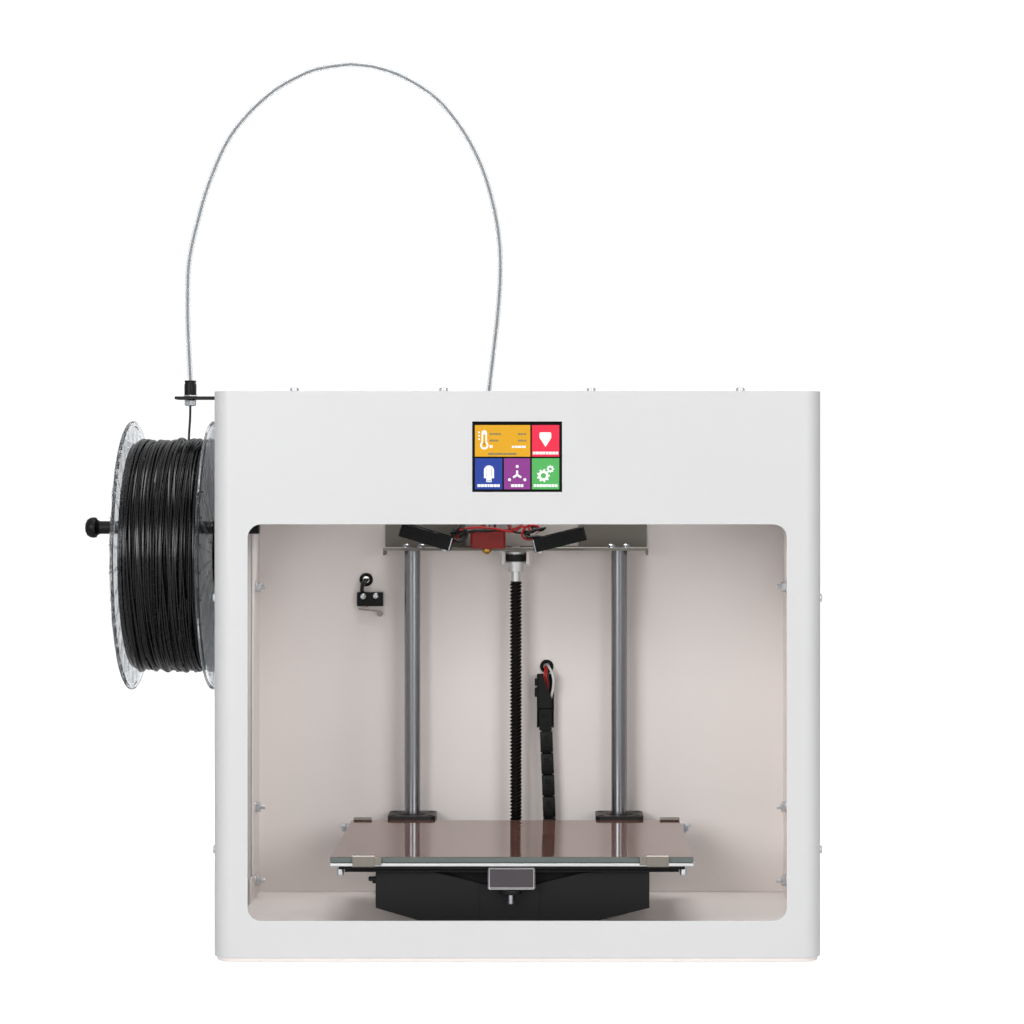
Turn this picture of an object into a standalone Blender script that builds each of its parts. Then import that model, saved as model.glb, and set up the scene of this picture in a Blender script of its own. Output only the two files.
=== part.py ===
"""Desktop filament printer: a folded steel cabinet with an open chamber, a bed that a lead screw lifts,
a head that travels on rods under the open top, a filament spool on the left side and a clear feed tube."""

import math

import bmesh
import bpy
from mathutils import Matrix, Vector

for old in list(bpy.data.objects):
    bpy.data.objects.remove(old)

# Driving dimensions, in metres. Places are (across, depth, height): across from the cabinet's middle,
# depth from its front face and height from the ground.
CABINET_SHIFT = 0.059  # the spool hangs on the left, so the cabinet stands right of the origin
CABINET_DEPTH = 0.410
HALF_WIDTH = 0.205
SHELL_BOTTOM = 0.006
SHELL_TOP = 0.387
SHEET = 0.0015
SEAM = 0.262  # depth where the front shell ends and the rear shell starts
CORNER = 0.013
GAP = 0.0003
OPENING_HALF = 0.1812
OPENING_LOW = 0.0308
OPENING_HIGH = 0.2974
FLOOR = 0.0098
INNER_WALL = 0.2032
BACK_WALL = 0.255
LIFT_X = -0.004  # the middle of the bed and of its lift
LIFT_DEPTH = 0.235
ROD_OFFSET = 0.0788
BED_TOP = 0.0705
BED_HALF = 0.12375
NOZZLE_X = -0.0253
NOZZLE_DEPTH = 0.207
NOZZLE_TIP = 0.2714
Y_ROD_X = 0.187
Y_ROD_HEIGHT = 0.322
X_ROD_HEIGHT = 0.342
X_ROD_DEPTHS = (0.228, 0.262)
X_BELT_DEPTH = 0.245
DRIVE_HEIGHT = 0.362
DRIVE_DEPTH = 0.330
Y_BELT_X = 0.190
PULLEY_RADIUS = 0.0077
SPOOL_DEPTH = 0.195
SPOOL_HEIGHT = 0.271
SPOOL_ROD_HEIGHT = 0.2917
GUIDE_X = -0.2465
DISPLAY_HEIGHT = 0.3428

parts = bpy.data.collections.new("fdm_printer")
cutters = bpy.data.collections.new("cutters")
for holder in (parts, cutters):
    bpy.context.scene.collection.children.link(holder)

SIDES = {"X": Vector((1, 0, 0)), "Y": Vector((0, 1, 0)), "Z": Vector((0, 0, 1))}


def at(across, depth, height):
    """A place in the world."""
    return Vector((CABINET_SHIFT + across, depth - CABINET_DEPTH / 2, height))


def finish(name, colour, roughness, metallic=0.0):
    """A Principled material."""
    made = bpy.data.materials.new(name)
    made.use_nodes = True
    shader = made.node_tree.nodes["Principled BSDF"]
    shader.inputs["Base Color"].default_value = (*colour, 1.0)
    shader.inputs["Roughness"].default_value = roughness
    shader.inputs["Metallic"].default_value = metallic
    return made


WHITE = finish("powder_coat", (0.74, 0.73, 0.72), 0.5)
GREY = finish("grey_paint", (0.17, 0.16, 0.15), 0.5)
BLACK = finish("black_steel", (0.02, 0.02, 0.022), 0.45)
STEEL = finish("ground_steel", (0.6, 0.6, 0.62), 0.2, 1.0)
ALLOY = finish("aluminium", (0.7, 0.7, 0.7), 0.4, 1.0)
BRASS = finish("brass", (0.7, 0.5, 0.2), 0.3, 1.0)
GLASS = finish("plate_glass", (0.35, 0.27, 0.25), 0.05)
RED = finish("silicone", (0.35, 0.03, 0.02), 0.6)
PLASTIC = finish("black_plastic", (0.015, 0.015, 0.015), 0.4)
RUBBER = finish("rubber", (0.02, 0.02, 0.02), 0.8)
CLEAR = finish("clear_plastic", (0.8, 0.82, 0.84), 0.08)
BOARD = finish("circuit_board", (0.02, 0.12, 0.05), 0.5)


def enter(name, mesh, place, look, spin=None):
    """Links a mesh as an object: a part if it has a look, and a cutter or a helper if it has none."""
    made = bpy.data.objects.new(name, mesh)
    made.location = place
    if spin is not None:
        made.rotation_mode = "QUATERNION"
        made.rotation_quaternion = spin
    if look is None:
        cutters.objects.link(made)
        made.hide_render = True
        made.display_type = "WIRE"
    else:
        parts.objects.link(made)
        mesh.materials.append(look)
    return made


def smooth(mesh):
    mesh.shade_smooth()
    mesh.set_sharp_from_angle(angle=math.radians(35))


def box(name, across, depth, height, look=None, corner=None):
    """A box between pairs of limits. corner is (axis, radius, steps) and rounds the edges along that axis."""
    limits = (across, depth, height)
    size = [high - low for low, high in limits]
    work = bmesh.new()
    bmesh.ops.create_cube(work, size=1.0)
    bmesh.ops.scale(work, vec=size, verts=work.verts)
    if corner:
        axis, radius, steps = corner
        edges = [e for e in work.edges if is_along(e, axis)]
        round_edges(work, edges, radius, steps)
    mesh = bpy.data.meshes.new(name)
    work.to_mesh(mesh)
    work.free()
    return enter(name, mesh, at(*[(low + high) / 2 for low, high in limits]), look)


def is_along(edge, axis):
    way = (edge.verts[1].co - edge.verts[0].co).normalized()
    return abs(way.dot(SIDES[axis])) > 0.99


def round_edges(work, edges, radius, steps):
    bmesh.ops.bevel(
        work, geom=edges, offset=radius, segments=steps, profile=0.5, affect="EDGES", material=-1
    )


def rod(name, start, end, radius, look=None, sides=24):
    """A cylinder from one place to another."""
    first, last = at(*start), at(*end)
    work = bmesh.new()
    bmesh.ops.create_cone(
        work, cap_ends=True, segments=sides, radius1=radius, radius2=radius, depth=(last - first).length
    )
    mesh = bpy.data.meshes.new(name)
    work.to_mesh(mesh)
    work.free()
    if look:
        smooth(mesh)
    return enter(name, mesh, (first + last) / 2, look, (last - first).to_track_quat("Z", "Y"))


def turned(name, outline, place, axis, look=None, steps=24):
    """A turned piece. outline is (radius, height) from its top down its outer side."""
    hollow = outline[0][0] > 0
    mesh = bpy.data.meshes.new(name)
    count = len(outline)
    edges = [(i, i + 1) for i in range(count - 1)] + ([(count - 1, 0)] if hollow else [])
    mesh.from_pydata([(radius, 0, height) for radius, height in outline], edges, [])
    made = enter(name, mesh, at(*place), look, SIDES[axis].to_track_quat("Z", "Y"))
    screw = made.modifiers.new("turn", "SCREW")
    screw.steps = screw.render_steps = steps
    screw.use_merge_vertices = True
    screw.merge_threshold = 0.00005
    screw.use_smooth_shade = False
    return made


def folded(name, across, depth, height, missing, look, corner=0.0):
    """A sheet-metal box without the faces that missing names, with its upright bends rounded."""
    limits = (across, depth, height)
    work = bmesh.new()
    bmesh.ops.create_cube(work, size=1.0)
    bmesh.ops.scale(work, vec=[high - low for low, high in limits], verts=work.verts)
    normals = {"front": (0, -1, 0), "back": (0, 1, 0), "top": (0, 0, 1), "bottom": (0, 0, -1)}
    gone = [f for f in work.faces for side in missing if f.normal.dot(Vector(normals[side])) > 0.9]
    bmesh.ops.delete(work, geom=gone, context="FACES")
    if corner:
        bends = [e for e in work.edges if is_along(e, "Z") and len(e.link_faces) == 2]
        round_edges(work, bends, corner, 5)
    mesh = bpy.data.meshes.new(name)
    work.to_mesh(mesh)
    work.free()
    made = enter(name, mesh, at(*[(low + high) / 2 for low, high in limits]), look)
    wall = made.modifiers.new("sheet", "SOLIDIFY")
    wall.thickness = SHEET
    wall.offset = -1
    wall.use_even_offset = True
    return made


def loop_belt(name, centre, length, radius, thickness, width, axis, look):
    """A belt round two pulleys: a ring with straight sides. One pulley is at centre, the other at length."""
    curve = bpy.data.curves.new(name, "CURVE")
    curve.dimensions = "2D"
    curve.fill_mode = "BOTH"
    curve.extrude = width / 2
    turns = 9
    for size in (radius + thickness, radius):
        line = curve.splines.new("POLY")
        ring = []
        for end, first in ((length, -math.pi / 2), (0, math.pi / 2)):
            for i in range(turns):
                angle = first + math.pi * i / (turns - 1)
                ring.append((end + size * math.cos(angle), size * math.sin(angle)))
        line.points.add(len(ring) - 1)
        for point, (u, v) in zip(line.points, ring):
            point.co = (u, v, 0, 1)
        line.use_cyclic_u = True
    made = bpy.data.objects.new(name, curve)
    made.location = at(*centre)
    turn = {
        "along_y_upright": Matrix(((0, 0, 1), (1, 0, 0), (0, 1, 0))),
        "along_x_flat": Matrix(((1, 0, 0), (0, 1, 0), (0, 0, 1))),
        "along_y_flat": Matrix(((0, -1, 0), (1, 0, 0), (0, 0, 1))),
    }[axis]
    made.rotation_euler = turn.to_euler()
    curve.materials.append(look)
    parts.objects.link(made)
    return made


def cut(target, *tools):
    for tool in tools:
        step = target.modifiers.new("cut", "BOOLEAN")
        step.operation = "DIFFERENCE"
        step.object = tool


def join(target, *tools):
    for tool in tools:
        step = target.modifiers.new("join", "BOOLEAN")
        step.operation = "UNION"
        step.object = tool


def joint(name, place, *carried):
    """An empty on a joint's axis, which carries the pieces that move there."""
    pivot = bpy.data.objects.new(name, None)
    pivot.location = place
    pivot.empty_display_size = 0.02
    parts.objects.link(pivot)
    for piece in carried:
        piece.parent = pivot
        piece.matrix_parent_inverse = Matrix.Translation(-Vector(place))
    return pivot


def both(*value):
    """Limits on the right side and their mirror on the left."""
    low, high = value
    return (low, high), (-high, -low)


# ---- Cabinet ----

front_shell = folded(
    "front_shell", (-HALF_WIDTH, HALF_WIDTH), (0, SEAM), (SHELL_BOTTOM, SHELL_TOP),
    ("back", "bottom"), WHITE, CORNER,
)
cut(
    front_shell,
    box("chamber_opening_cutter", (-OPENING_HALF, OPENING_HALF), (-0.02, 0.012),
        (OPENING_LOW, OPENING_HIGH), corner=("Y", 0.009, 5)),
    box("display_window_cutter", (-0.0302, 0.0302), (-0.02, 0.012),
        (DISPLAY_HEIGHT - 0.0237, DISPLAY_HEIGHT + 0.0237)),
    box("front_top_cutter", (-0.183, 0.183), (0.022, 0.3), (SHELL_TOP - 0.01, SHELL_TOP + 0.01)),
    rod("spool_rod_cutter", (-0.22, SPOOL_DEPTH, SPOOL_ROD_HEIGHT),
        (-0.19, SPOOL_DEPTH, SPOOL_ROD_HEIGHT), 0.0052),
)
SIDE_SCREW_DEPTH = 0.025
SIDE_SCREW_HEAD = 0.0024
SIDE_SCREW_RADIUS = 0.0027
for height in (0.0755, 0.247):
    for side in (-1, 1):
        seat = (side * (HALF_WIDTH - 0.001), SIDE_SCREW_DEPTH, height)
        top = (side * (HALF_WIDTH + SIDE_SCREW_HEAD), SIDE_SCREW_DEPTH, height)
        join(front_shell, rod(f"side_screw_{side}_{height}", seat, top, SIDE_SCREW_RADIUS, sides=12))

rear_shell = folded(
    "rear_shell", (-HALF_WIDTH, HALF_WIDTH), (SEAM + 0.0005, CABINET_DEPTH), (SHELL_BOTTOM, SHELL_TOP),
    ("front", "bottom"), WHITE, CORNER,
)
cut(
    rear_shell,
    box("rear_top_cutter", (-0.183, 0.183), (0.2, 0.352), (SHELL_TOP - 0.01, SHELL_TOP + 0.01)),
    box("inlet_cutter", (0.1243, 0.1757), (0.4, 0.42), (0.0385, 0.0675)),
)
VENT_PITCH = 0.012
for row in range(9):
    low = 0.15 + VENT_PITCH * row
    cut(rear_shell, box(f"vent_cutter_{row}", (-0.15, -0.05), (0.4, 0.42), (low, low + 0.004)))

base_tray = folded(
    "base_tray", (-INNER_WALL, INNER_WALL), (0.002, 0.408), (0.003, FLOOR), ("bottom",), WHITE, 0.0115
)
for side, limits in zip(("right", "left"), both(INNER_WALL - SHEET, INNER_WALL)):
    join(base_tray, box(f"upstand_{side}", limits, (0.200, 0.2545), (FLOOR - 0.001, 0.0285)))
FOOT_RADIUS = 0.010
for across in (-0.165, 0.165):
    for depth in (0.040, 0.370):
        join(base_tray, rod(f"foot_{across}_{depth}", (across, depth, 0), (across, depth, 0.009),
                            FOOT_RADIUS, sides=16))

chamber_back_wall = folded(
    "chamber_back_wall", (-INNER_WALL, INNER_WALL), (0.215, BACK_WALL + SHEET), (FLOOR + GAP, 0.303),
    ("front", "top", "bottom"), WHITE,
)
cut(
    chamber_back_wall,
    box("z_belt_slot", (LIFT_X - 0.012, LIFT_X + 0.012), (0.25, 0.26), (0.2615, 0.2737)),
    rod("chain_cable_hole", (0.0196, 0.25, 0.1837), (0.0196, 0.26, 0.1837), 0.0045, sides=16),
    rod("switch_cable_hole", (-0.1194, 0.25, 0.2505), (-0.1194, 0.26, 0.2505), 0.0045, sides=16),
)
for side, limits in zip(("right", "left"), both(INNER_WALL - 0.0025, INNER_WALL + 0.001)):
    cut(chamber_back_wall, box(f"flange_end_{side}", limits, (0.205, BACK_WALL - GAP), (0.0, 0.029)))

display_module = box(
    "display_module", (-0.036, 0.036), (SHEET + GAP, 0.011), (DISPLAY_HEIGHT - 0.028, DISPLAY_HEIGHT + 0.028),
    PLASTIC,
)
join(display_module, box("display_glass", (-0.0295, 0.0295), (0.0004, 0.005),
                         (DISPLAY_HEIGHT - 0.023, DISPLAY_HEIGHT + 0.023)))

# ---- Rails that the head travels on, under the open top ----

gantry_frame = box("gantry_frame", (-0.2014, 0.2014), (0.010, 0.345), (0.310, 0.374), BLACK)
cut(
    gantry_frame,
    box("frame_inside_front", (-0.1984, 0.1984), (0.014, 0.291), (0.30, 0.39)),
    box("frame_inside_rear", (-0.1984, 0.1984), (0.295, 0.36), (0.30, 0.39)),
    box("frame_front_bar", (-0.176, 0.176), (0.0, 0.02), (0.30, 0.39)),
    box("frame_ear_tops", (-0.1984, 0.1984), (0.0, 0.02), (0.334, 0.39)),
    rod("cross_shaft_hole", (-0.21, DRIVE_DEPTH, DRIVE_HEIGHT), (0.21, DRIVE_DEPTH, DRIVE_HEIGHT), 0.0045),
)
for side, across in (("right", 1), ("left", -1)):
    cut(
        gantry_frame,
        box(f"belt_notch_{side}", tuple(sorted((across * 0.184, across * 0.197))), (0.28, 0.30),
            (0.350, 0.39)),
        rod(f"y_rod_hole_{side}", (across * Y_ROD_X, 0, Y_ROD_HEIGHT),
            (across * Y_ROD_X, 0.31, Y_ROD_HEIGHT), 0.0053),
    )
    rod(f"y_rod_{side}", (across * Y_ROD_X, 0.010, Y_ROD_HEIGHT),
        (across * Y_ROD_X, 0.2955, Y_ROD_HEIGHT), 0.005, STEEL)
join(gantry_frame, box("motor_shelf", (-0.030, 0.030), (0.294, 0.352), (0.3365, 0.3402)))

MOTOR_HALF = 0.021
y_motor = box(
    "y_motor", (-0.024, 0.024), (DRIVE_DEPTH - MOTOR_HALF, DRIVE_DEPTH + MOTOR_HALF), (0.3405, 0.3825), BLACK,
    ("X", 0.004, 1),
)
cut(y_motor, rod("y_motor_bore", (-0.05, DRIVE_DEPTH, DRIVE_HEIGHT), (0.05, DRIVE_DEPTH, DRIVE_HEIGHT),
                 0.0045))

cross_shaft = rod("cross_shaft", (-0.2, DRIVE_DEPTH, DRIVE_HEIGHT), (0.2, DRIVE_DEPTH, DRIVE_HEIGHT),
                  0.004, STEEL)
for side, limits in zip(("right", "left"), both(Y_BELT_X - 0.0045, Y_BELT_X + 0.0045)):
    ends = [(value, DRIVE_DEPTH, DRIVE_HEIGHT) for value in limits]
    join(cross_shaft, rod(f"shaft_pulley_{side}", *ends, PULLEY_RADIUS))
IDLER_DEPTH = 0.024
for side, across in (("right", Y_BELT_X), ("left", -Y_BELT_X)):
    loop_belt(f"y_belt_{side}", (across, IDLER_DEPTH, DRIVE_HEIGHT), DRIVE_DEPTH - IDLER_DEPTH,
              0.008, 0.0009, 0.006, "along_y_upright", RUBBER)

# ---- Bed lift: rods, screw and belt drive ----

LIP_HEIGHT = 0.2737
z_top_bracket = box("z_top_bracket", (LIFT_X - 0.1005, LIFT_X + 0.1005), (0.222, 0.2547),
                    (LIP_HEIGHT, 0.299), GREY)
cut(
    z_top_bracket,
    box("bracket_inside", (LIFT_X - 0.12, LIFT_X + 0.12), (0.2, 0.2527), (LIP_HEIGHT + 0.002, 0.32)),
    box("bracket_window", (-0.043, 0.044), (0.25, 0.26), (0.2765, 0.32)),
    rod("screw_bearing_hole", (LIFT_X, LIFT_DEPTH, 0.26), (LIFT_X, LIFT_DEPTH, 0.29), 0.0035),
)
for side, across in (("right", LIFT_X + ROD_OFFSET), ("left", LIFT_X - ROD_OFFSET)):
    cut(z_top_bracket, rod(f"z_rod_hole_{side}", (across, LIFT_DEPTH, 0.26), (across, LIFT_DEPTH, 0.29),
                           0.0064))
    rod(f"z_rod_{side}", (across, LIFT_DEPTH, FLOOR + GAP), (across, LIFT_DEPTH, 0.2762), 0.006, STEEL)

BELT_LOW, BELT_HIGH = 0.2653, 0.2706
z_screw = turned(
    "z_screw",
    [(0, 0.2765), (0.003, 0.2765), (0.003, 0.2728), (0.0078, 0.2728), (0.0078, 0.2712), (0.0062, 0.2712),
     (0.0062, 0.2650), (0.0078, 0.2650), (0.0078, 0.2638), (0.0059, 0.2638), (0.0059, 0.2572),
     (0.0035, 0.2572), (0.0035, 0.2500), (0.0045, 0.2500), (0.0045, 0.0105), (0, 0.0105)],
    (LIFT_X, LIFT_DEPTH, 0), "Z", STEEL,
)
Z_MOTOR_DEPTH = 0.300
z_motor_pulley = turned(
    "z_motor_pulley",
    [(0, 0.2728), (0.0078, 0.2728), (0.0078, 0.2712), (0.0062, 0.2712), (0.0062, 0.2650), (0.0078, 0.2650),
     (0.0078, 0.2638), (0.0025, 0.2638), (0.0025, 0.2585), (0, 0.2585)],
    (LIFT_X, Z_MOTOR_DEPTH, 0), "Z", ALLOY,
)
z_motor = box("z_motor", (LIFT_X - MOTOR_HALF, LIFT_X + MOTOR_HALF),
              (Z_MOTOR_DEPTH - MOTOR_HALF, Z_MOTOR_DEPTH + MOTOR_HALF), (0.214, 0.255), BLACK,
              ("Z", 0.004, 1))
join(z_motor, box("z_motor_plate", (LIFT_X - MOTOR_HALF, LIFT_X + MOTOR_HALF),
                  (BACK_WALL + SHEET + GAP, Z_MOTOR_DEPTH + MOTOR_HALF), (0.254, 0.258)))
z_belt = loop_belt("z_belt", (LIFT_X, LIFT_DEPTH, (BELT_LOW + BELT_HIGH) / 2), Z_MOTOR_DEPTH - LIFT_DEPTH,
                   0.0065, 0.0012, BELT_HIGH - BELT_LOW, "along_y_flat", RUBBER)

# ---- Bed: glass on a heated plate on a folded carrier that slides on the rods ----

glass_plate = box("glass_plate", (LIFT_X - BED_HALF, LIFT_X + BED_HALF), (0.023, 0.215),
                  (BED_TOP - 0.004, BED_TOP), GLASS, ("Z", 0.002, 2))
heater_plate = box("heater_plate", (LIFT_X - BED_HALF - 0.001, LIFT_X + BED_HALF + 0.001), (0.022, 0.216),
                   (0.0642, 0.0662), ALLOY, ("Z", 0.003, 2))
CARRIER_HALF = 0.0938
CARRIER_TOP = 0.0594
CARRIER_X = -0.0036
CARRIER_WALL = 0.002
bed_support = box("bed_support", (CARRIER_X - CARRIER_HALF, CARRIER_X + CARRIER_HALF), (0.034, 0.217),
                  (0.0229, CARRIER_TOP), BLACK)
inner_half = CARRIER_HALF - CARRIER_WALL
cut(bed_support, box("carrier_inside", (CARRIER_X - inner_half, CARRIER_X + inner_half), (0.036, 0.215),
                     (0.0, CARRIER_TOP - CARRIER_WALL)))
for side, way in (("right", 1), ("left", -1)):
    wedge = box(f"carrier_chamfer_{side}", (-0.03, 0.03), (0.0, 0.25), (-0.01, 0.01))
    wedge.rotation_euler.y = -way * math.radians(16.5)
    wedge.location = at(CARRIER_X + way * (CARRIER_HALF - 0.0125), 0.125, 0.0171)
    cut(bed_support, wedge)
join(
    bed_support,
    box("nut_tongue", (LIFT_X - 0.014, LIFT_X + 0.014), (0.210, 0.250), (0.044, 0.0495)),
    box("chain_arm", (0.040, 0.0555), (0.210, 0.250), (0.0505, 0.0535)),
)
cut(bed_support, rod("nut_hole", (LIFT_X, LIFT_DEPTH, 0.03), (LIFT_X, LIFT_DEPTH, 0.06), 0.0073))
lead_nut = turned(
    "lead_nut",
    [(0.005, 0.0545), (0.0125, 0.0545), (0.0125, 0.0498), (0.007, 0.0498), (0.007, 0.0370), (0.005, 0.0370)],
    (LIFT_X, LIFT_DEPTH, 0), "Z", BRASS,
)
BEARING_HALF = 0.018
blocks = []
for side, across in (("left", LIFT_X - ROD_OFFSET), ("right", LIFT_X + ROD_OFFSET)):
    block = box(f"bearing_block_{side}", (across - BEARING_HALF, across + BEARING_HALF), (0.2173, 0.2523),
                (0.018, 0.073), BLACK, ("Z", 0.003, 1))
    cut(block, rod(f"bearing_bore_{side}", (across, LIFT_DEPTH, 0), (across, LIFT_DEPTH, 0.1), 0.0064))
    blocks.append(block)
join(blocks[0], box("switch_finger", (-0.114, -0.099), (0.2455, 0.2515), (0.0181, 0.0211)))

bed_grip = box("bed_grip", (-0.0202, 0.0120), (0.0215, 0.0335), (0.0485, 0.0635), ALLOY, ("Y", 0.0025, 2))
level_knob = turned(
    "level_knob",
    [(0, 0.0480), (0.0078, 0.0480), (0.0078, 0.0452), (0.0020, 0.0452), (0.0020, 0.0380), (0, 0.0380)],
    (-0.0047, 0.0257, 0), "Z", PLASTIC, 20,
)

# ---- Travelling bridge ----

X_PULLEY_X = 0.164
RIGHT_SLIDER = (0.1730, 0.1975)
SLIDER_DEPTHS = (0.213, 0.277)
bridge = []
for side, way in (("right", 1), ("left", -1)):
    slider_limits = tuple(sorted((way * RIGHT_SLIDER[0], way * RIGHT_SLIDER[1])))
    slider = box(f"y_slider_{side}", slider_limits, SLIDER_DEPTHS, (0.312, 0.352), BLACK)
    join(slider, box(f"slider_shelf_{side}", tuple(sorted((way * 0.1555, way * 0.174))), (0.2235, 0.2665),
                     (0.3485, 0.352)))
    cut(
        slider,
        rod(f"slider_bore_{side}", (way * Y_ROD_X, 0.2, Y_ROD_HEIGHT), (way * Y_ROD_X, 0.3, Y_ROD_HEIGHT),
            0.0053),
        box(f"slider_pulley_room_{side}", tuple(sorted((way * 0.150, way * 0.1765))), (0.2335, 0.2565),
            (0.3345, 0.3485)),
        rod(f"slider_shaft_hole_{side}", (way * X_PULLEY_X, X_BELT_DEPTH, 0.33),
            (way * X_PULLEY_X, X_BELT_DEPTH, 0.36), 0.0035),
    )
    for depth in X_ROD_DEPTHS:
        cut(slider, rod(f"rod_socket_{side}_{depth}", (way * 0.16, depth, X_ROD_HEIGHT),
                        (way * 0.190, depth, X_ROD_HEIGHT), 0.0043))
    bridge.append(slider)
for end, depth in zip(("front", "rear"), X_ROD_DEPTHS):
    bridge.append(rod(f"x_rod_{end}", (-0.1895, depth, X_ROD_HEIGHT), (0.1895, depth, X_ROD_HEIGHT), 0.004,
                      STEEL))
x_motor = box("x_motor", (X_PULLEY_X - MOTOR_HALF, X_PULLEY_X + MOTOR_HALF),
              (X_BELT_DEPTH - MOTOR_HALF, X_BELT_DEPTH + MOTOR_HALF), (0.3523, 0.3820), BLACK,
              ("Z", 0.004, 1))
X_WHEEL = [(0, 0.3480), (0.0078, 0.3480), (0.0078, 0.3463), (0.0062, 0.3463), (0.0062, 0.3377),
           (0.0078, 0.3377), (0.0078, 0.3362), (0, 0.3362)]
x_motor_pulley = turned("x_motor_pulley", [(0, 0.3520), (0.0025, 0.3520), (0.0025, 0.3480)] + X_WHEEL[1:],
                        (X_PULLEY_X, X_BELT_DEPTH, 0), "Z", ALLOY)
x_idler = turned("x_idler", [(0, 0.3520), (0.0025, 0.3520), (0.0025, 0.3480)] + X_WHEEL[1:],
                 (-X_PULLEY_X, X_BELT_DEPTH, 0), "Z", ALLOY)
x_belt = loop_belt("x_belt", (-X_PULLEY_X, X_BELT_DEPTH, X_ROD_HEIGHT), 2 * X_PULLEY_X, 0.0065, 0.0010, 0.006,
                   "along_x_flat", RUBBER)
bridge += [x_motor, x_belt]

# ---- Print head ----

CARRIAGE_HALF = 0.024
carriage_block = box("carriage_block", (NOZZLE_X - CARRIAGE_HALF, NOZZLE_X + CARRIAGE_HALF), (0.2187, 0.272),
                     (0.326, 0.3515), BLACK)
join(
    carriage_block,
    box("head_plate", (NOZZLE_X - CARRIAGE_HALF, NOZZLE_X + 0.026), (0.190, 0.222), (0.326, 0.332)),
    box("motor_face", (-0.046, 0.003), (0.2187, 0.2217), (0.327, 0.393)),
    box("tube_arm", (-0.032, -0.015), (0.199, 0.220), (0.386, 0.3912)),
)
cut(
    carriage_block,
    box("belt_channel", (-0.09, 0.05), (X_BELT_DEPTH - 0.0095, X_BELT_DEPTH + 0.0095), (0.336, 0.348)),
    rod("motor_face_hole", (-0.019, 0.2, 0.3735), (-0.019, 0.23, 0.3735), 0.0115),
)
for depth in X_ROD_DEPTHS:
    cut(carriage_block, rod(f"carriage_bore_{depth}", (-0.1, depth, X_ROD_HEIGHT), (0.1, depth, X_ROD_HEIGHT),
                            0.0043))
extruder_motor = box("extruder_motor", (-0.040, 0.002), (0.222, 0.250), (0.3525, 0.3945), BLACK,
                     ("Y", 0.004, 1))
drive_gear = turned(
    "drive_gear",
    [(0, 0.0195), (0.0025, 0.0195), (0.0025, 0.0105), (0.0060, 0.0105), (0.0060, 0), (0, 0)],
    (-0.019, 0.202, 0.3735), "Y", STEEL,
)
idler_lever = rod("idler_lever", (-0.0312, 0.2030, 0.3735), (-0.0312, 0.2120, 0.3735), 0.0050, ALLOY)
join(idler_lever, box("lever_arm", (-0.0405, -0.0330), (0.2035, 0.2115), (0.3335, 0.3850)))
heat_sink = turned(
    "heat_sink",
    [(0, 0.3257), (0.008, 0.3257), (0.008, 0.3200)]
    + [(radius, 0.3200 - 0.0052 * fin - drop) for fin in range(5)
       for radius, drop in ((0.0108, 0), (0.0108, 0.0018), (0.0060, 0.0018), (0.0060, 0.0052))][:-1]
    + [(0.0022, 0.2974), (0.0022, 0.2902), (0, 0.2902)],
    (NOZZLE_X, NOZZLE_DEPTH, 0), "Z", ALLOY, 20,
)
heater_block = box("heater_block", (-0.0376, -0.0114), (0.197, 0.217), (0.2758, 0.2899), RED,
                   ("Z", 0.0015, 1))
nozzle = turned(
    "nozzle", [(0, 0.2755), (0.0036, 0.2755), (0.0036, 0.2735), (0.0009, NOZZLE_TIP), (0, NOZZLE_TIP)],
    (NOZZLE_X, NOZZLE_DEPTH, 0), "Z", BRASS,
)

FAN = 0.020
ROTOR_RADIUS = 0.0185
ROTOR_HUB = 0.0085
BLADE_OUTLINE = (  # (radius, angle) round one blade and on to the next
    (ROTOR_HUB, 0.0), (ROTOR_RADIUS, 0.30), (ROTOR_RADIUS, 0.52), (ROTOR_HUB, 0.22), (ROTOR_HUB, 0.55),
)


def fan(side, place, tilt):
    """A square axial fan, tilted to blow at the nozzle: its frame with a bored duct, and its rotor."""
    seat = joint(f"fan_{side}_axis", at(*place))
    seat.rotation_euler.y = tilt
    frame = box(f"fan_{side}", (-FAN, FAN), (-FAN, FAN), (-0.005, 0.005), PLASTIC, ("Z", 0.0025, 2))
    duct = rod("duct", (0, 0, -0.01), (0, 0, 0.01), 0.0191, sides=32)
    hub = rod("hub", (0, 0, -0.0048), (0, 0, -0.0036), 0.0080)
    strut_a = box("strut", (-FAN + 0.0004, FAN - 0.0004), (-0.0011, 0.0011), (-0.0047, -0.0037))
    strut_b = box("strut", (-0.0011, 0.0011), (-FAN + 0.0004, FAN - 0.0004), (-0.0047, -0.0037))
    cut(frame, duct)
    join(frame, hub, strut_a, strut_b)
    curve = bpy.data.curves.new(f"fan_{side}_rotor", "CURVE")
    curve.dimensions = "2D"
    curve.fill_mode = "BOTH"
    curve.extrude = 0.0036
    blades = 7
    outline = []
    for blade in range(blades):
        start = 2 * math.pi * blade / blades
        for radius, turn in BLADE_OUTLINE:
            outline.append((radius * math.cos(start + turn), radius * math.sin(start + turn)))
    line = curve.splines.new("POLY")
    line.points.add(len(outline) - 1)
    for point, (u, v) in zip(line.points, outline):
        point.co = (u, v, 0, 1)
    line.use_cyclic_u = True
    curve.materials.append(PLASTIC)
    rotor = bpy.data.objects.new(f"fan_{side}_rotor", curve)
    parts.objects.link(rotor)
    rotor.location = at(0, 0, 0.0008)
    for piece in (frame, duct, hub, strut_a, strut_b, rotor):
        piece.location = piece.location - at(0, 0, 0)
        piece.parent = seat
    return seat


fan_left = fan("left", (-0.0700, 0.200, 0.2848), math.radians(16.3))
fan_right = fan("right", (0.0290, 0.200, 0.2828), math.radians(-13.8))

# ---- Spool and filament guide ----

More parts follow.
